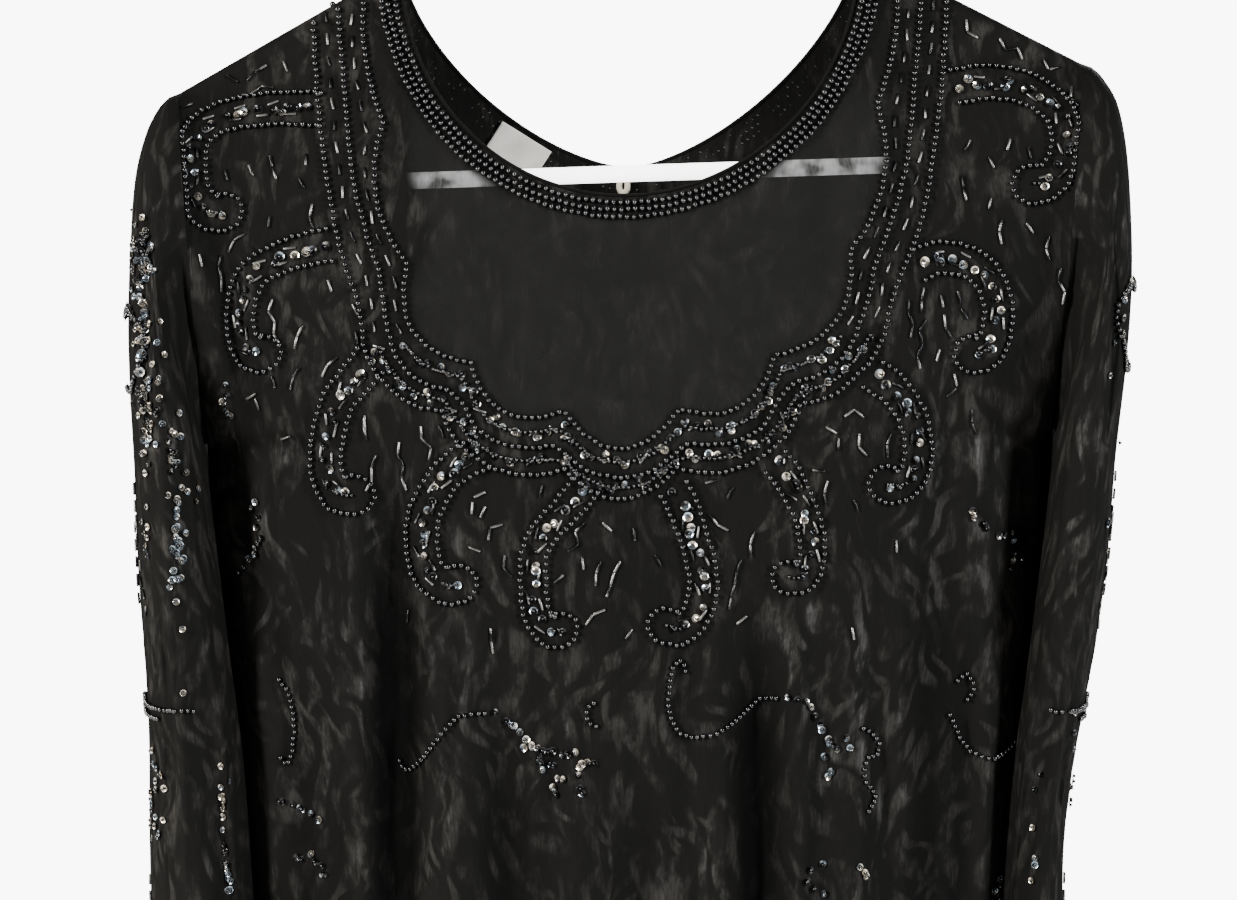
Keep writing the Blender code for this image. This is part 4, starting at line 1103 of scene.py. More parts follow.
def tube_piece(name, line, radius, closed, sides, material):
    """A round tube along a line of points in metres."""
    points, faces = [], []
    count = len(line)
    line = [Vector(p) for p in line]
    across = Vector((0.0, 1.0, 0.0))
    for index, point in enumerate(line):
        before = line[index - 1] if closed or index else point
        after = line[(index + 1) % count] if closed or index < count - 1 else point
        along = (after - before).normalized()
        side_axis = along.cross(across).normalized()
        up_axis = side_axis.cross(along)
        for side in range(sides):
            turn = 2.0 * math.pi * side / sides
            points.append(point + (side_axis * math.cos(turn) + up_axis * math.sin(turn)) * radius)
    for index in range(count if closed else count - 1):
        start, end = index * sides, (index + 1) % count * sides
        for side in range(sides):
            following = (side + 1) % sides
            faces.append((start + side, start + following, end + following, end + side))
    if not closed:
        faces.append(tuple(range(sides))[::-1])
        faces.append(tuple((count - 1) * sides + side for side in range(sides)))
    mesh = bpy.data.meshes.new(name)
    mesh.from_pydata(points, [], faces)
    mesh.shade_smooth()
    mesh.set_sharp_from_angle(angle=math.radians(60.0))
    return new_object(name, mesh, material)


# Materials


class Value:
    """A shader socket that adds Math nodes when it is used in an expression."""

    def __init__(self, shading, socket):
        self.shading = shading
        self.socket = socket

    def maths(self, operation, *others, swapped=False):
        values = [self, *others]
        if swapped:
            values = values[::-1]
        inputs = dict(enumerate(values))
        return Value(self.shading, self.shading.node("ShaderNodeMath", {"operation": operation}, inputs)[0])

    def __add__(self, other):
        return self.maths("ADD", other)

    def __radd__(self, other):
        return self.maths("ADD", other, swapped=True)

    def __sub__(self, other):
        return self.maths("SUBTRACT", other)

    def __rsub__(self, other):
        return self.maths("SUBTRACT", other, swapped=True)

    def __mul__(self, other):
        return self.maths("MULTIPLY", other)

    def __rmul__(self, other):
        return self.maths("MULTIPLY", other, swapped=True)

    def sine(self):
        return self.maths("SINE")

    def above(self, low, high):
        """0 under low, 1 over high, with soft ends."""
        settings = {"interpolation_type": "SMOOTHSTEP"}
        made = self.shading.node("ShaderNodeMapRange", settings, {0: self, 1: low, 2: high})
        return Value(self.shading, made[0])


class Shading:
    """One material's nodes round its Principled shader."""

    def __init__(self, name, **constants):
        self.material = bpy.data.materials.new(name)
        self.material.use_nodes = True
        self.nodes = self.material.node_tree.nodes
        self.links = self.material.node_tree.links
        self.shader = self.nodes["Principled BSDF"]
        for key, value in constants.items():
            self.shader.inputs[key.replace("_", " ").title().replace("Ior", "IOR")].default_value = value

    def node(self, kind, settings, inputs):
        """Adds a node, sets it up, then fills or links its sockets. Gives back its outputs."""
        made = self.nodes.new(kind)
        for key, value in settings.items():
            setattr(made, key, value)
        for key, value in inputs.items():
            socket = made.inputs[key]
            if isinstance(value, Value):
                self.links.new(value.socket, socket)
            elif hasattr(value, "is_linked"):
                self.links.new(value, socket)
            else:
                socket.default_value = value
        return made.outputs

    def feed(self, key, value):
        self.links.new(value.socket if isinstance(value, Value) else value, self.shader.inputs[key])

    def place(self, scale, shift=(0.0, 0.0, 0.0), source="UV"):
        """Texture coordinates, each multiplied and then shifted."""
        start = self.node("ShaderNodeTexCoord", {}, {})[source]
        scaled = self.node("ShaderNodeVectorMath", {"operation": "MULTIPLY"}, {0: start, 1: scale})[0]
        return self.node("ShaderNodeVectorMath", {"operation": "ADD"}, {0: scaled, 1: shift})[0]

    def noise(self, vector, scale=1.0, detail=2.0, roughness=0.5):
        inputs = {"Vector": vector, "Scale": scale, "Detail": detail, "Roughness": roughness}
        return Value(self, self.node("ShaderNodeTexNoise", {}, inputs)["Fac"])

    def blend(self, share, first, second):
        """A colour between two colours."""
        inputs = {0: share, 6: first, 7: second}
        return self.node("ShaderNodeMix", {"data_type": "RGBA"}, inputs)[2]

    def bump(self, height, distance, strength=1.0, normal=None):
        inputs = {"Height": height, "Distance": distance, "Strength": strength}
        if normal is not None:
            inputs["Normal"] = normal
        return self.node("ShaderNodeBump", {}, inputs)["Normal"]


def flames(shading, cell_width, cell_height, pitch, shift):
    """Groups of curved, tapering strokes, each group round the middle of an uneven cell."""
    place = shading.place((1.0 / cell_width, 1.0 / cell_height, 1.0), shift)
    inputs = {"Vector": place, "Scale": 1.1, "Detail": 1.0}
    sway = shading.node("ShaderNodeTexNoise", {}, inputs)["Color"]
    sway = shading.node("ShaderNodeVectorMath", {"operation": "SUBTRACT"}, {0: sway, 1: (0.5, 0.5, 0.5)})[0]
    sway = shading.node("ShaderNodeVectorMath", {"operation": "MULTIPLY"}, {0: sway, 1: (1.5, 0.9, 0.0)})[0]
    place = shading.node("ShaderNodeVectorMath", {"operation": "ADD"}, {0: place, 1: sway})[0]
    inputs = {"Vector": place, "Scale": 1.0}
    cells = shading.node("ShaderNodeTexVoronoi", {"voronoi_dimensions": "2D"}, inputs)
    centre = cells["Position"]
    local = shading.node("ShaderNodeVectorMath", {"operation": "SUBTRACT"}, {0: place, 1: centre})[0]
    spread = shading.node("ShaderNodeSeparateXYZ", {}, {0: local})
    chance = shading.node("ShaderNodeSeparateXYZ", {}, {0: cells["Color"]})
    across, up = Value(shading, spread["X"]), Value(shading, spread["Y"])
    lean, bend, start = (Value(shading, chance[key]) for key in ("X", "Y", "Z"))
    side = across * cell_width + up * (lean - 0.5) * (cell_height * 0.9)
    side = side - up * up * ((bend - 0.5).above(-0.1, 0.1) - 0.5) * (cell_height * 1.3)
    waves = (side * (2.0 * math.pi / pitch) + start * 6.3).sine()
    settings = {"voronoi_dimensions": "2D", "feature": "DISTANCE_TO_EDGE"}
    edge = Value(shading, shading.node("ShaderNodeTexVoronoi", settings, inputs)["Distance"])
    beside_edge = 1.0 - edge.above(-0.02, 0.20)
    return waves - up * up * 3.4 - across * across * 1.2 - beside_edge * 1.25 + 0.34


def shade_silk(colours, sizes):
    """Sheer black crepe with flame-like satin strokes, almost plain on the yoke."""
    shading = Shading("figured_silk", specular_ior_level=0.03, coat_roughness=0.36, coat_ior=1.25)
    place = shading.place(UNSCALED)
    large = flames(shading, 4.6, 6.4, 1.5, (0.0, 0.0, 0.0)).above(-0.50, 0.80)
    small = flames(shading, 2.9, 4.2, 1.05, (5.3, 2.9, 0.0)).above(-0.30, 0.80)
    streaks = shading.noise(shading.place((9.0, 1.5, 1.0)), detail=5.0, roughness=0.68)
    mottle = shading.noise(shading.place((1.1, 0.5, 1.0), (3.0, 1.0, 0.0)), detail=4.0, roughness=0.62)
    figure = large.maths("MAXIMUM", small * 0.7) * (0.10 + 1.60 * mottle.above(0.42, 0.66))
    figure = figure * (0.45 + 0.75 * streaks.above(0.34, 0.66))
    crepe = shading.noise(place, scale=26.0, detail=2.0, roughness=0.7)
    crumple = shading.noise(shading.place((1.5, 0.55, 1.0), (2.0, 7.0, 0.0)), detail=3.0, roughness=0.55)
    clouds = shading.noise(shading.place((0.16, 0.09, 1.0), (1.0, 5.0, 0.0)), detail=2.0)
    yoke = Value(shading, shading.node("ShaderNodeAttribute", {"attribute_name": "yoke"}, {})["Fac"])
    fold = Value(shading, shading.node("ShaderNodeAttribute", {"attribute_name": "fold"}, {})["Fac"])
    plain = 1.0 - yoke * 0.55
    gloss = figure * plain * (0.35 + 0.65 * clouds.above(0.35, 0.62))
    ground = shading.blend(clouds, colours.silk_ground, colours.silk_warm)
    figured = shading.blend(gloss, ground, colours.silk_figure)
    misted = shading.blend(yoke * 0.6, figured, colours.yoke_ground)
    lit = shading.blend(streaks.above(0.40, 0.80) * (0.10 + 0.30 * figure), misted, colours.silk_figure)
    # Painted shade: the base colour darkens towards the fold colour at the bottom of deep folds, where the
    # coat also thins.
    shading.feed("Base Color", shading.blend(fold.above(0.05, 0.95) * 0.9, lit, colours.silk_fold_shade))
    shading.feed("Roughness", 0.74 - gloss * 0.26 + (streaks - 0.5) * 0.12)
    shading.feed("Coat Weight", gloss * (1.0 - fold.above(0.0, 0.8)) * 0.35)
    patchy = shading.noise(shading.place((0.75, 0.9, 1.0), (6.0, 2.0, 0.0)), detail=2.0).above(0.36, 0.62)
    thin = sizes.body_cover - sizes.yoke_cover + (patchy - 0.5) * 0.08 - streaks.above(0.3, 0.8) * 0.03
    shading.feed("Alpha", sizes.body_cover - yoke * thin)
    rumpled = shading.bump(crumple, 0.0012, 0.7)
    weave = shading.bump(crepe + streaks * 0.8, 0.00012, 0.5, rumpled)
    shading.feed("Normal", shading.bump(figure * plain, 0.00030, 0.6, weave))
    return shading.material


def shade_glass(colours):
    """Black cut glass, slightly uneven from bead to bead."""
    shading = Shading("bead_glass", specular_ior_level=0.52, ior=1.62)
    patches = shading.noise(shading.place(UNSCALED, source="Object"), scale=260.0, detail=1.0)
    shading.feed("Base Color", shading.blend(patches, colours.bead_glass, colours.bead_tint))
    shading.feed("Roughness", 0.05 + patches.above(0.45, 0.8) * 0.07)
    return shading.material


def shade_bugle(colours):
    """Dark tube beads with a metal-grey gleam."""
    shading = Shading("bugle_glass", metallic=0.75)
    patches = shading.noise(shading.place(UNSCALED, source="Object"), scale=110.0, detail=1.0)
    bright = patches.above(0.44, 0.62)
    shading.feed("Base Color", shading.blend(bright, colours.bugle_dark, colours.bugle_bright))
    shading.feed("Roughness", 0.20 + patches * 0.12)
    return shading.material


def shade_sequin(colours, name, bright_from):
    """Dark mirrored film that turns gold and blue from place to place. A lower bright_from turns more sequins
    bright, as the sleeves' copy does for painted glare.
    """
    shading = Shading(name, metallic=0.92)
    tones = shading.noise(shading.place(UNSCALED, source="Object"), scale=120.0, detail=1.0)
    shifted = shading.place(UNSCALED, (4.0, 4.0, 4.0), source="Object")
    hues = shading.noise(shifted, scale=150.0, detail=1.0)
    tinted = shading.blend(hues.above(0.40, 0.60), colours.sequin_gold, colours.sequin_blue)
    bright = tones.above(bright_from, bright_from + 0.12)
    shading.feed("Base Color", shading.blend(bright, colours.sequin_dark, tinted))
    shading.feed("Roughness", 0.12 + tones * 0.14)
    return shading.material


def shade_plastic(colours):
    """Moulded white plastic with faint flow lines and handling marks, glowing white as painted light."""
    # Painted light: the plastic glows white of its own, though it is no lamp.
    glow = {"emission_color": (1.0, 1.0, 1.0, 1.0), "emission_strength": 4.6}
    shading = Shading("white_plastic", specular_ior_level=0.5, **glow)
    flow = shading.noise(shading.place((20.0, 60.0, 140.0), source="Object"), detail=3.0)
    marks = shading.noise(shading.place(UNSCALED, source="Object"), scale=55.0, detail=4.0, roughness=0.7)
    worn = marks.above(0.58, 0.85) * 0.5
    shading.feed("Base Color", shading.blend(worn, colours.plastic, colours.plastic_worn))
    shading.feed("Roughness", 0.28 + marks * 0.16)
    shading.feed("Normal", shading.bump(flow, 0.00010, 0.35))
    return shading.material


def shade_woven(name, light, dark, pitch, roughness):
    """A small woven tape or label with crossing threads."""
    shading = Shading(name, specular_ior_level=0.35)
    turns = 2.0 * math.pi / pitch
    place = shading.place((turns, turns, turns), source="Object")
    spread = shading.node("ShaderNodeSeparateXYZ", {}, {0: place})
    weft = Value(shading, spread["Z"]).sine()
    warp = Value(shading, spread["X"]).sine()
    threads = weft * warp * 0.5 + 0.5
    soil = shading.noise(shading.place(UNSCALED, source="Object"), scale=90.0, detail=3.0)
    shading.feed("Base Color", shading.blend(soil.above(0.35, 0.75) * 0.5 + threads * 0.12, light, dark))
    shading.feed("Roughness", roughness + threads * 0.12)
    shading.feed("Normal", shading.bump(threads, 0.00010, 0.5))
    return shading.material


def shade_studio(name, light, dark, scale):
    """A pale matt surface with faint patches and a little light of its own."""
    glow = {"emission_color": (1.0, 1.0, 0.98, 1.0), "emission_strength": 0.45}
    shading = Shading(name, specular_ior_level=0.2, **glow)
    patches = shading.noise(shading.place(UNSCALED, source="Object"), scale=scale, detail=3.0)
    shading.feed("Base Color", shading.blend(patches, light, dark))
    shading.feed("Roughness", 0.72 + patches * 0.12)
    return shading.material


MADE_MATERIALS = {}


def dress_materials(context):
    """The dress's materials, made the first time that a piece asks for them."""
    colours, sizes = context.scene.dress_colours, context.scene.dress_sizes
    makers = {
        "figured_silk": lambda: shade_silk(colours, sizes),
        "bead_glass": lambda: shade_glass(colours),
        "bugle_glass": lambda: shade_bugle(colours),
        "dark_sequin": lambda: shade_sequin(colours, "dark_sequin_film", bright_from=0.47),
        # Painted glare: the sleeves' copy turns more sequins bright than the front's, for the glare that the
        # side lights raise on the sleeves.
        "bright_sequin": lambda: shade_sequin(colours, "bright_sequin_film", bright_from=0.35),
        "white_plastic": lambda: shade_plastic(colours),
        "white_satin": lambda: shade_woven("white_satin", colours.satin, colours.satin_shade, 0.0007, 0.42),
        "cream_tape": lambda: shade_woven("cream_tape", colours.tape, colours.tape_shade, 0.0006, 0.66),
    }
    for name, maker in makers.items():
        if name not in MADE_MATERIALS:
            MADE_MATERIALS[name] = maker()
    return MADE_MATERIALS


# What a user may change


def length(name, description, default):
    return bpy.props.FloatProperty(
        name=name, description=description, default=default, min=0.0, unit="LENGTH", subtype="DISTANCE"
    )


def share(name, description, default):
    return bpy.props.FloatProperty(
        name=name, description=description, default=default, min=0.0, max=1.0, subtype="FACTOR"
    )


def colour(name, description, default):
    return bpy.props.FloatVectorProperty(
        name=name, description=description, default=(*default, 1.0), size=4, min=0.0, max=1.0, subtype="COLOR"
    )


class DressSizes(bpy.types.PropertyGroup):
    """Sizes of the trimming and how sheer the silk is."""

    bead_diameter: length("Bead diameter", "Across a round glass bead", 0.0028)
    bead_pitch: length("Bead pitch", "From one bead of a row to the next", 0.0031)
    bugle_length: length("Bugle length", "Along a tube bead", 0.0055)
    bugle_diameter: length("Bugle diameter", "Across a tube bead", 0.0012)
    sequin_diameter: length("Sequin diameter", "Across a cupped sequin", 0.0045)
    edge_radius: length("Rolled edge radius", "Half the thickness of a hand-rolled hem", 0.0008)
    body_cover: share("Body cover", "How much one layer of the body's silk hides", 1.0)
    yoke_cover: share("Yoke cover", "How much one layer of the plain yoke hides", 0.935)


class DressColours(bpy.types.PropertyGroup):
    """Colours of the cloth, trimming, hanger and studio."""

    silk_ground: colour("Silk ground", "The sheer crepe", (0.0036, 0.0036, 0.0035))
    silk_warm: colour("Silk warm patches", "The crepe where it is thinner", (0.0056, 0.0054, 0.0048))
    silk_figure: colour("Silk figure", "The satin strokes", (0.0170, 0.0160, 0.0142))
    # Painted shade: the colour that the bottom of deep folds is darkened to.
    silk_fold_shade: colour("Silk fold", "The bottom of deep folds", (0.0005, 0.0005, 0.0005))
    yoke_ground: colour("Yoke ground", "The plain sheer yoke", (0.0100, 0.0100, 0.0095))
    bead_glass: colour("Bead glass", "The darkest beads", (0.0015, 0.0015, 0.0018))
    bead_tint: colour("Bead tint", "The lightest beads", (0.0050, 0.0050, 0.0054))
    bugle_dark: colour("Bugle dark", "Tube beads at their darkest", (0.0100, 0.0100, 0.0105))
    bugle_bright: colour("Bugle bright", "Tube beads at their brightest", (0.1900, 0.1850, 0.1750))
    sequin_dark: colour("Sequin dark", "Film seen dark", (0.0260, 0.0260, 0.0270))
    sequin_gold: colour("Sequin gold", "Film that glints warm", (0.7600, 0.6800, 0.5600))
    sequin_blue: colour("Sequin blue", "Film that glints cool", (0.3600, 0.4300, 0.4900))
    plastic: colour("Plastic", "The hanger", (0.8600, 0.8600, 0.8400))
    plastic_worn: colour("Worn plastic", "The hanger where it was handled", (0.7400, 0.7300, 0.7000))
    satin: colour("Satin", "The blank label", (0.5500, 0.5300, 0.4900))
    satin_shade: colour("Satin shade", "The label between its threads", (0.3600, 0.3450, 0.3100))
    tape: colour("Tape", "The neck loop", (0.7000, 0.6400, 0.5000))
    tape_shade: colour("Tape shade", "The loop between its threads", (0.5000, 0.4400, 0.3300))
    floor: colour("Floor", "The studio floor", (0.8400, 0.8400, 0.8300))
    floor_shade: colour("Floor shade", "The floor's faint patches", (0.7900, 0.7900, 0.7800))


class DressOperator:
    """What every operator here shares."""

    bl_options = {"REGISTER", "UNDO"}

    @classmethod
    def poll(cls, context):
        return context.scene is not None


class DRESS_OT_bodice(DressOperator, bpy.types.Operator):
    """Front and back from the shoulders to the dropped waist seam"""

    bl_idname = "dress.bodice"
    bl_label = "Bodice"

    def execute(self, context):
        silk = dress_materials(context)["figured_silk"]
        x, y, z = body_grid(True, neck_steps=66, shoulder_steps=46, levels=214)
        yoke = yoke_share(x, z)
        # The fold shares carry the painted shade of the folds to the material.
        front = cloth_piece("front_silk", (x, y, z), False, silk, yoke, gathered(x, z, True))
        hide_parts("bodice_front")
        x, y, z = body_grid(False, neck_steps=44, shoulder_steps=30, levels=130)
        back = cloth_piece("back_silk", (x, y, z), False, silk, None, gathered(x, z, False))
        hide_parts("bodice_back")
        return {"FINISHED"}


class DRESS_OT_sleeves(DressOperator, bpy.types.Operator):
    """Both long sleeves, open at the cuff"""

    bl_idname = "dress.sleeves"
    bl_label = "Sleeves"

    def execute(self, context):
        silk = dress_materials(context)["figured_silk"]
        for word, rows, side in (("left", LEFT_SLEEVE, -1.0), ("right", RIGHT_SLEEVE, 1.0)):
            grid = sleeve_grid(rows, side, SLEEVE_AROUND, SLEEVE_STEPS)
            sleeve = cloth_piece(f"{word}_sleeve_silk", grid, True, silk)
            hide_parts(f"sleeve_{word}")
        return {"FINISHED"}


class DRESS_OT_skirt(DressOperator, bpy.types.Operator):
    """The short gathered skirt below the dropped waist"""

    bl_idname = "dress.skirt"
    bl_label = "Skirt"

    def execute(self, context):
        silk = dress_materials(context)["figured_silk"]
        for word, front in (("front", True), ("back", False)):
            grid = skirt_grid(front, SKIRT_ACROSS, SKIRT_DOWN)
            skirt = cloth_piece(f"{word}_skirt_silk", grid, False, silk)
            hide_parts(f"skirt_{word}")
        return {"FINISHED"}


class DRESS_OT_edges(DressOperator, bpy.types.Operator):
    """Hand-rolled edges at the neck, cuffs and hem"""

    bl_idname = "dress.edges"
    bl_label = "Rolled edges"

    def execute(self, context):
        silk = dress_materials(context)["figured_silk"]
        radius = context.scene.dress_sizes.edge_radius
        for word, front in (("front", True), ("back", False)):
            turn = np.linspace(-math.pi / 2.0, math.pi / 2.0, 120)
            x = NECK_HALF * np.sin(turn)
            z = top_z(x, front)
            y = body_depth(x, z - 0.6, front) * (-1.0 if front else 1.0)
            line = placed(x, y, z)
            tube_piece(f"neck_edge_{word}", line, radius, False, EDGE_SIDES, silk)
        for word, rows, side in (("left", LEFT_SLEEVE, -1.0), ("right", RIGHT_SLEEVE, 1.0)):
            x, y, z = sleeve_grid(rows, side, SLEEVE_AROUND, SLEEVE_STEPS)
            line = placed(x[-1], y[-1], z[-1])
            tube_piece(f"cuff_edge_{word}", line, radius, True, EDGE_SIDES, silk)
        for word, front in (("front", True), ("back", False)):
            x, y, z = skirt_grid(front, SKIRT_ACROSS, SKIRT_DOWN)
            line = placed(x[-1], y[-1], z[-1])
            tube_piece(f"hem_edge_{word}", line, radius, False, EDGE_SIDES, silk)
        return {"FINISHED"}


def neck_line(front, offset):
    """A line parallel to the neckline, from near one shoulder to near the other."""
    turn = np.radians(np.linspace(-NECK_ROW_REACH, NECK_ROW_REACH, 170))
    x = NECK_HALF * np.sin(turn)
    edge = np.stack([x, top_z(x, front)], axis=1)
    return offset_line(edge, -(NECK_BAND_INSET + offset))


class DRESS_OT_neck_bands(DressOperator, bpy.types.Operator):
    """Three rows of beads round the neck, front and back"""

    bl_idname = "dress.neck_bands"
    bl_label = "Neck bands"

    def execute(self, context):
        materials = dress_materials(context)
        for word, way in (("front", -1.0), ("back", 1.0)):
            work = Beadwork(Ground(f"{word}_silk", way), context.scene.dress_sizes, seed=11)
            for number, offset in enumerate(NECK_ROW_OFFSETS):
                line = neck_line(word == "front", offset)
                work.row(line[number % 2:])
            work.finish(f"neck_{word}", materials, f"neck_beading_{word}")
        return {"FINISHED"}


def mirrored(line):
    """A half line from the shoulder to the middle, with its mirror image, from right to left."""
    return np.array(list(line) + [(-x, z) for x, z in reversed(list(line)[:-1])])


def cusped_line(cusps, steps=12):
    """Bulging arcs between cusps from the right shoulder, across the middle, to the left shoulder."""
    whole = list(cusps) + [(-x, z, 0.0) for x, z, _bulge in reversed(cusps)]
    bulges = [row[2] for row in cusps] + [row[2] for row in reversed(cusps[:-1])]
    line = []
    for (x, z, _), (end_x, end_z, _), bulge in zip(whole, whole[1:], bulges):
        length_mm = math.hypot(end_x - x, end_z - z)
        out_x, out_z = -(end_z - z) / length_mm, (end_x - x) / length_mm
        for step in range(steps):
            part = step / steps
            swell = bulge * 4.0 * part * (1.0 - part)
            line.append((x + (end_x - x) * part + out_x * swell, z + (end_z - z) * part + out_z * swell))
    line.append(whole[-1][:2])
    return np.array(line)


def slipped(line):
    """The line with its lower part a little to the wearer's right, as the cloth hangs."""
    line = np.array(line, float)
    line[:, 0] -= YOKE_SLIP * ease(YOKE_SLIP_STARTS_Z, YOKE_SLIP_FULL_Z, line[:, 1])
    return line


class DRESS_OT_yoke_band(DressOperator, bpy.types.Operator):
    """The broad scalloped band round the sheer yoke"""

    bl_idname = "dress.yoke_band"
    bl_label = "Yoke band"

    def execute(self, context):
        materials = dress_materials(context)
        work = Beadwork(Ground("front_silk", -1.0), context.scene.dress_sizes, seed=23)
        inner = cusped_line(YOKE_INNER_CUSPS)
        middle = mirrored(smooth_line(YOKE_MIDDLE, 8))
        outer = cusped_line(YOKE_OUTER_CUSPS)
        for line in (inner, middle, outer):
            work.row(slipped(line))
        for first, second in ((inner, middle), (middle, outer)):
            between = slipped(between_lines(first, second))
            steep = np.abs(between[:, 1]) < YOKE_SIDES_END
            for side in (between[:, 0] > 0.0, between[:, 0] < 0.0):
                work.bugles_along(between[steep & side], pitch_m=0.0105)
            low = between[~steep]
            work.sequins_along(low, pitch=4.4, stray=2.6, scale=0.80)
            work.bugles_along(low[2:], pitch_m=0.0090, stray=50.0)
            work.row(low, scale=0.75)
        work.finish("yoke_band", materials, "yoke_beading")
        return {"FINISHED"}


def between_lines(first, second, count=160):
    """The line halfway between two lines, matched by their share of length."""
    halves = []
    for line in (first, second):
        line = np.asarray(line, float)
        travel = np.concatenate([[0.0], np.cumsum(np.linalg.norm(np.diff(line, axis=0), axis=1))])
        stops = np.linspace(0.0, travel[-1], count)
        halves.append(np.stack([np.interp(stops, travel, line[:, i]) for i in range(2)], axis=1))
    return (halves[0] + halves[1]) / 2.0


def curl_outline(line, half):
    """Out along one side of a curl, round its rounded end and back along the other side."""
    parts = np.linspace(0.0, 1.0, len(line))
    halves = half * (1.06 - 0.12 * ease(0.0, 0.4, parts) + CURL_BULB * ease(0.74, 0.98, parts))
    along = np.gradient(line, axis=0)
    along /= np.linalg.norm(along, axis=1)[:, None]
    across = np.stack([-along[:, 1], along[:, 0]], axis=1)
    first = line + across * halves[:, None]
    second = line - across * halves[:, None]
    end, heading, side = line[-1], along[-1], across[-1]
    turns = np.radians(np.linspace(CURL_CAP_TURN, -CURL_CAP_TURN, 9))[:, None]
    cap = end + halves[-1] * (side * np.sin(turns) + heading * np.cos(turns))
    return np.vstack([first, cap, second[::-1]])


class DRESS_OT_curls(DressOperator, bpy.types.Operator):
    """Ten hooked curls below the yoke band, outlined in beads and filled with sequins"""

    bl_idname = "dress.curls"
    bl_label = "Curls"

    def execute(self, context):
        materials = dress_materials(context)
        ground = Ground("front_silk", -1.0)
        for seed, word in ((39, "left"), (41, "right")):
            for number, (half, points) in enumerate(CURLS[word], start=1):
                work = Beadwork(ground, context.scene.dress_sizes, seed + number)
                line = smooth_line(points, CURL_STEPS)
                work.row(curl_outline(line, half))
                root_end = len(line) // 3
                work.sequins_along(line[1:root_end], pitch=4.8, stray=2.2)
                work.sequins_along(line[root_end:], pitch=5.4, stray=1.8, scale=0.84)
                work.bugles_along(offset_line(line, 2.6)[3:-8], pitch_m=0.0126, stray=24.0)
                work.bugles_along(offset_line(line, -2.6)[6:-4], pitch_m=0.0150, stray=30.0)
                work.row(line[-CURL_STEPS - 3:], scale=0.7)
                work.finish(f"curl_{word}_{number}", materials, f"curl_{word}_{number}")
        return {"FINISHED"}


def scroll_line(x, z, size, lean):
    """An open scroll with a curled head and a trailing foot."""
    line = []
    for step in range(SCROLL_STEPS):
        part = step / (SCROLL_STEPS - 1)
        angle = math.radians(lean + SCROLL_START - SCROLL_TURN * part ** 0.72)
        reach = size * (0.10 + 0.42 * part)
        foot = size * 0.9 * part ** 2
        line.append((x + reach * math.cos(angle) * 0.8, z + reach * math.sin(angle) + foot))
    return np.array(line)


class DRESS_OT_sprays(DressOperator, bpy.types.Operator):
    """Loose bugles, beaded scrolls and sequin trails on the front, back and skirt"""

    bl_idname = "dress.sprays"
    bl_label = "Sprays"

    def execute(self, context):
        materials = dress_materials(context)
        sizes = context.scene.dress_sizes
        front = Beadwork(Ground("front_silk", -1.0), sizes, seed=71)
        for row in FRONT_BUGLES:
            front.chain(*row)
        for line in BEAD_SCROLLS:
            front.row(smooth_line(line, 8), scale=0.9)
        for line in SEQUIN_TRAILS:
            front.sequins_along(smooth_line(line, 6), pitch=3.4, stray=1.9, scale=0.76)
        lay_scrolls(front, HIDDEN_SCROLLS)
        front.finish("front_sprays", materials)
        back = Beadwork(Ground("back_silk", 1.0), sizes, seed=83)
        back.row(mirrored(smooth_line([(x * 1.02, z * 0.80) for x, z in YOKE_MIDDLE], 8)))
        lay_scrolls(back, BACK_SCROLLS)
        back.finish("back_sprays", materials)
        for word, way in (("front", -1.0), ("back", 1.0)):
            skirt = Beadwork(Ground(f"{word}_skirt_silk", way), sizes, seed=97)
            lay_scrolls(skirt, SKIRT_SCROLLS)
            skirt.finish(f"{word}_skirt_sprays", materials)
        return {"FINISHED"}


def lay_scrolls(work, table):
    """Scrolls with a sequin tail and a few bugles each."""
    for x, z, size, lean in table:
        line = scroll_line(x, z, size, lean)
        work.row(line, scale=0.9)
        tail = [
            (x + size * 0.3, z - size * 0.5),
            (x + size * 0.1, z - size * 0.9),
            (x - size * 0.3, z - size * 1.2),
        ]
        work.sequins_along(smooth_line(tail, 6), pitch=5.0, stray=1.4)
        work.chain(x - size * 0.5, z - size * 0.1, heading=-80.0, zigzag=30.0, count=3)


def outermost(rows, z):
    """How far out a sleeve reaches at a height."""
    table = np.array(rows)[::-1]
    return np.interp(z, table[:, 1], table[:, 0])


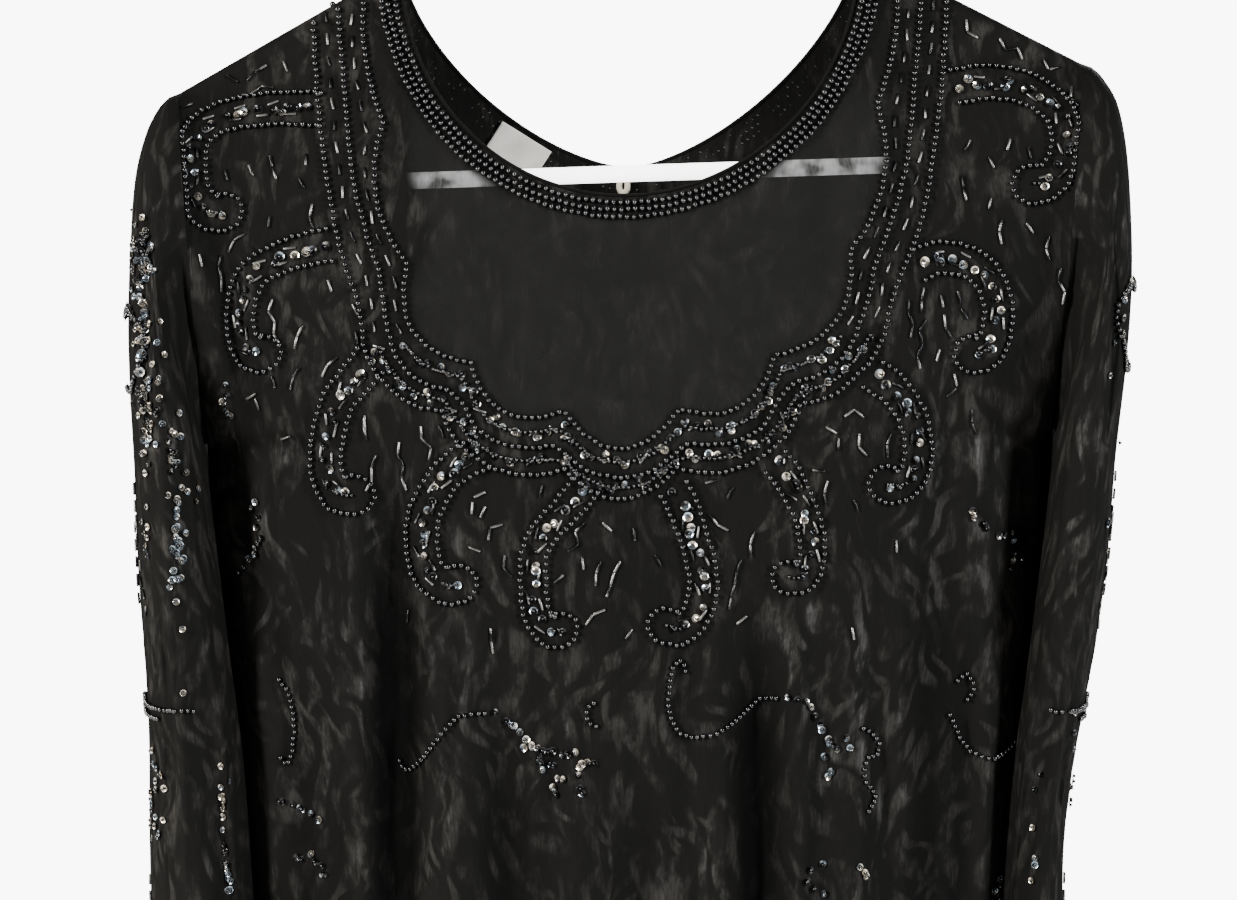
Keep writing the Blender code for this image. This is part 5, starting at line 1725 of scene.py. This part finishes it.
class DRESS_OT_sleeve_sprays(DressOperator, bpy.types.Operator):
    """Sequin clusters, curls and bead rings on the sleeves"""

    bl_idname = "dress.sleeve_sprays"
    bl_label = "Sleeve sprays"

    def execute(self, context):
        materials = dress_materials(context)
        sizes = context.scene.dress_sizes
        for word, rows, side in (("left", LEFT_SLEEVE, -1.0), ("right", RIGHT_SLEEVE, 1.0)):
            work = Beadwork(Ground(f"{word}_sleeve_silk", -1.0), sizes, 131 + int(side))
            for x, z, x_spread, z_spread, left_count, right_count in SLEEVE_FRONT_SEQUINS:
                for _index in range(left_count if side < 0.0 else right_count):
                    strewn = x + work.chance.gauss(0.0, 0.5) * x_spread
                    place = side * min(strewn, outermost(rows, z) - SLEEVE_EDGE_ROOM)
                    height = z + work.chance.gauss(0.0, 0.5) * z_spread
                    work.sequin_at(place, height, tilt=11.0, scale=0.70)
            work.ground = SleeveGround(f"{word}_sleeve_silk", rows, side)
            for turn, z, turn_spread, z_spread, count in SLEEVE_BACK_SEQUINS:
                for _index in range(count if side < 0.0 else count * 2 // 3):
                    place = turn + work.chance.gauss(0.0, 0.5) * turn_spread
                    height = z + work.chance.gauss(0.0, 0.5) * z_spread
                    work.sequin_at(place, height, tilt=13.0, scale=0.9)
            for z, start, end in SLEEVE_BEAD_RINGS:
                turns = np.linspace(start, end, 40)
                ring = np.stack([turns, z + 3.0 * np.sin(np.radians(turns * 3.0))], axis=1)
                work.row(ring, scale=0.85)
            curl = smooth_line(SLEEVE_CURL, 8)
            work.row(curl, scale=0.9)
            work.sequins_along(curl, pitch=7.0, stray=1.6)
            for turn, z, count in SLEEVE_BUGLE_LINES:
                line = [(turn, z), (turn - 4.0, z - 10.0), (turn + 3.0, z - 20.0), (turn, z - 8.0 * count)]
                work.bugles_along(smooth_line(line, 6), pitch_m=0.0082, stray=16.0)
            # The sleeves take the copy of the film with more bright sequins, as painted glare.
            work.finish(f"{word}_sleeve_sprays", materials, film="bright_sequin")
        return {"FINISHED"}


class DRESS_OT_neck_pieces(DressOperator, bpy.types.Operator):
    """The blank label and the small loop inside the back neck"""

    bl_idname = "dress.neck_pieces"
    bl_label = "Label and loop"

    def execute(self, context):
        materials = dress_materials(context)
        back = Ground("back_silk", 1.0)
        before, after = LABEL_CENTRE_X - LABEL_PROBE, LABEL_CENTRE_X + LABEL_PROBE
        run, rise = after - before, float(top_z(after, False) - top_z(before, False))
        reach = math.hypot(run, rise)
        along_x, along_z = run / reach, rise / reach
        rows, columns = 24, 28
        points, faces = [], []
        for r in range(rows):
            drop = LABEL_BELOW_EDGE + LABEL_DROP * r / (rows - 1)
            for c in range(columns):
                out = LABEL_WIDTH * (c / (columns - 1) - 0.5)
                x = LABEL_CENTRE_X + along_x * out + along_z * drop
                z = float(top_z(LABEL_CENTRE_X, False)) + along_z * out - along_x * drop
                point, normal = back.at(x, z)
                ripple = LABEL_RIPPLE * math.sin(c * LABEL_RIPPLE_TURN)
                curl = LABEL_CURL * (r / (rows - 1)) ** 2 + ripple
                points.append(point - normal * (LABEL_INSIDE + curl) * MM)
        for r in range(rows - 1):
            for c in range(columns - 1):
                a = r * columns + c
                faces.append((a, a + 1, a + columns + 1, a + columns))
        mesh = bpy.data.meshes.new("blank_label")
        mesh.from_pydata(points, [], faces)
        mesh.shade_smooth()
        label = new_object("blank_label", mesh, materials["white_satin"])
        thick = label.modifiers.new("thickness", "SOLIDIFY")
        thick.thickness = LABEL_THICKNESS_M
        thick.offset = 0.0
        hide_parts("neck_label")
        line = []
        middle_z = (LOOP_TOP_Z + LOOP_BOTTOM_Z) / 2.0
        half_height = (LOOP_TOP_Z - LOOP_BOTTOM_Z) / 2.0 - LOOP_TAPE
        for step in range(LOOP_STEPS):
            turn = 2.0 * math.pi * step / LOOP_STEPS
            narrow = LOOP_NARROWEST + LOOP_WIDENING * (1.0 - math.sin(turn)) / 2.0
            x = (LOOP_HALF_WIDTH - LOOP_TAPE) * narrow * math.cos(turn) + LOOP_CENTRE_X
            z = middle_z + half_height * math.sin(turn)
            point, _normal = back.at(x, min(z, float(top_z(x, False)) - LOOP_BELOW_EDGE))
            here = Vector(placed(x, 0.0, z))
            here.y = point.y - (LOOP_TAPE + LOOP_INSIDE) * MM
            line.append(here)
        tape = materials["cream_tape"]
        loop = tube_piece("loop_tape", line, LOOP_TAPE * MM, True, LOOP_SIDES, tape)
        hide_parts("neck_loop")
        return {"FINISHED"}


def arm_z(x):
    """Height of the middle of the hanger's arm, just under the shoulder seam."""
    return (NECK_HALF - abs(x)) * SHOULDER_SLOPE - TUBE_COVER_HEIGHT - ARM_ROOM


def arc(centre, radius, start, end, steps):
    """Points of an arc between two angles in degrees."""
    turns = np.radians(np.linspace(start, end, steps + 1))
    return [(centre[0] + radius * math.cos(t), centre[1] + radius * math.sin(t)) for t in turns]


class DRESS_OT_hanger(DressOperator, bpy.types.Operator):
    """The white tube hanger: arms, bar and hook"""

    bl_idname = "dress.hanger"
    bl_label = "Hanger"

    def execute(self, context):
        plastic = dress_materials(context)["white_plastic"]
        slope = math.degrees(math.atan(SHOULDER_SLOPE))
        drop = arm_z(ARM_REACH) + BAR_DROP
        bend = drop / (1.0 + math.cos(math.radians(slope)))
        centre_x = ARM_REACH - bend * math.sin(math.radians(slope))
        right = arc((centre_x, bend - BAR_DROP), bend, -90.0, 90.0 - slope, steps=22)
        run = APEX_ROUNDING * math.sin(math.radians(slope))
        crown_z = arm_z(run) - APEX_ROUNDING * math.cos(math.radians(slope))
        crown = arc((0.0, crown_z), APEX_ROUNDING, 90.0 - slope, 90.0 + slope, steps=14)
        arm = [(x, arm_z(x)) for x in np.linspace(ARM_REACH, run, 26)[1:-1]]
        half = right + arm
        left = [(-x, z) for x, z in reversed(half)]
        bar = [(x, -BAR_DROP) for x in np.linspace(-centre_x, centre_x, 30)[1:-1]]
        loop = [placed(x, 0.0, z) for x, z in half + crown + left + bar]
        body = tube_piece("hanger_loop", loop, TUBE_RADIUS * MM, True, TUBE_SIDES, plastic)
        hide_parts("hanger")
        ring = HOOK_INSIDE_RADIUS + TUBE_RADIUS
        centre_z = -NECK_POINT_Z - HOOK_INSIDE_RADIUS
        join_x = ring * math.cos(math.radians(HOOK_JOIN_ANGLE))
        join_z = centre_z + ring * math.sin(math.radians(HOOK_JOIN_ANGLE))
        bend_z = join_z - join_x
        start_z = bend_z - join_x * 0.5
        stem = [(0.0, z) for z in np.linspace(crown_z + APEX_ROUNDING, start_z, 8)[:-1]]
        for part in np.linspace(0.0, 1.0, 14)[:-1]:
            keep = 1.0 - part
            z = keep * keep * start_z + 2.0 * keep * part * bend_z + part * part * join_z
            stem.append((part * part * join_x, z))
        path = stem + arc((0.0, centre_z), ring, HOOK_JOIN_ANGLE, HOOK_MOUTH_ANGLE, steps=60)
        hook = [placed(x, 0.0, z) for x, z in path]
        tube_piece("hanger_hook", hook, TUBE_RADIUS * MM, False, TUBE_SIDES, plastic)
        return {"FINISHED"}


class DRESS_OT_studio(DressOperator, bpy.types.Operator):
    """Pale floor, soft lights, white surroundings and the camera"""

    bl_idname = "dress.studio"
    bl_label = "Studio"

    def execute(self, context):
        colours = context.scene.dress_colours
        mesh = bpy.data.meshes.new("studio_floor")
        half = FLOOR_HALF_M
        corners = [(-half, -half, 0.0), (half, -half, 0.0), (half, half, 0.0), (-half, half, 0.0)]
        mesh.from_pydata(corners, [], [(0, 1, 2, 3)])
        mesh.materials.append(shade_studio("studio_floor", colours.floor, colours.floor_shade, 2.0))
        floor = bpy.data.objects.new("studio_floor", mesh)
        floor.location = (0.0, 0.0, CAD_BOX[0][2] - FLOOR_DROP_M)
        context.scene.collection.objects.link(floor)
        target = Vector(LIGHT_TARGET_M)
        for name, place, power, width, height, tint in LIGHTS:
            lamp = bpy.data.lights.new(name, "AREA")
            lamp.shape = "RECTANGLE"
            lamp.energy = power
            lamp.size = width
            lamp.size_y = height
            lamp.color = tint
            holder = bpy.data.objects.new(name, lamp)
            holder.location = place
            holder.rotation_euler = (target - Vector(place)).to_track_quat("-Z", "Y").to_euler()
            context.scene.collection.objects.link(holder)
        make_surroundings(context)
        lens = bpy.data.cameras.new("front_camera")
        lens.sensor_width = SENSOR_WIDTH
        lens.lens = SENSOR_WIDTH * CAMERA_DISTANCE / FRAME_WIDTH
        lens.clip_start = CLIP_START_M
        lens.clip_end = CLIP_END_M
        camera = bpy.data.objects.new("front_camera", lens)
        camera.location = (FRAME_CENTRE[0] * MM, -CAMERA_DISTANCE * MM, FRAME_CENTRE[1] * MM)
        camera.rotation_euler = (math.radians(90.0), 0.0, 0.0)
        context.scene.collection.objects.link(camera)
        context.scene.camera = camera
        return {"FINISHED"}


def make_surroundings(context):
    """White seen directly, and a softer grey room in reflections."""
    world = bpy.data.worlds.new("studio_surroundings")
    world.use_nodes = True
    context.scene.world = world
    nodes, links = world.node_tree.nodes, world.node_tree.links
    nodes.clear()
    seen = nodes.new("ShaderNodeBackground")
    seen.inputs["Color"].default_value = (1.0, 1.0, 1.0, 1.0)
    seen.inputs["Strength"].default_value = WHITE_STRENGTH
    room = nodes.new("ShaderNodeBackground")
    room.inputs["Color"].default_value = (0.95, 0.97, 1.0, 1.0)
    room.inputs["Strength"].default_value = ROOM_STRENGTH
    path = nodes.new("ShaderNodeLightPath")
    mix = nodes.new("ShaderNodeMixShader")
    output = nodes.new("ShaderNodeOutputWorld")
    links.new(path.outputs["Is Camera Ray"], mix.inputs[0])
    links.new(room.outputs[0], mix.inputs[1])
    links.new(seen.outputs[0], mix.inputs[2])
    links.new(mix.outputs[0], output.inputs["Surface"])


class DRESS_PT_panel(bpy.types.Panel):
    """Lists the dress's operators, sizes and colours"""

    bl_idname = "DRESS_PT_panel"
    bl_label = "Beaded dress"
    bl_space_type = "VIEW_3D"
    bl_region_type = "UI"
    bl_category = "Dress"

    def draw(self, context):
        layout = self.layout
        for operator in OPERATORS:
            layout.operator(operator.bl_idname)
        for group in (context.scene.dress_sizes, context.scene.dress_colours):
            box = layout.box()
            for key in group.__annotations__:
                box.prop(group, key)


OPERATORS = (
    DRESS_OT_bodice,
    DRESS_OT_sleeves,
    DRESS_OT_skirt,
    DRESS_OT_edges,
    DRESS_OT_neck_bands,
    DRESS_OT_yoke_band,
    DRESS_OT_curls,
    DRESS_OT_sprays,
    DRESS_OT_sleeve_sprays,
    DRESS_OT_neck_pieces,
    DRESS_OT_hanger,
    DRESS_OT_studio,
)
CLASSES = (DressSizes, DressColours, *OPERATORS, DRESS_PT_panel)


def register():
    for item in CLASSES:
        bpy.utils.register_class(item)
    bpy.types.Scene.dress_sizes = bpy.props.PointerProperty(type=DressSizes)
    bpy.types.Scene.dress_colours = bpy.props.PointerProperty(type=DressColours)


def unregister():
    del bpy.types.Scene.dress_colours
    del bpy.types.Scene.dress_sizes
    for item in reversed(CLASSES):
        bpy.utils.unregister_class(item)


def main():
    register()
    for operator in OPERATORS:
        group, name = operator.bl_idname.split(".")
        getattr(getattr(bpy.ops, group), name)()


if __name__ == "__main__":
    main()
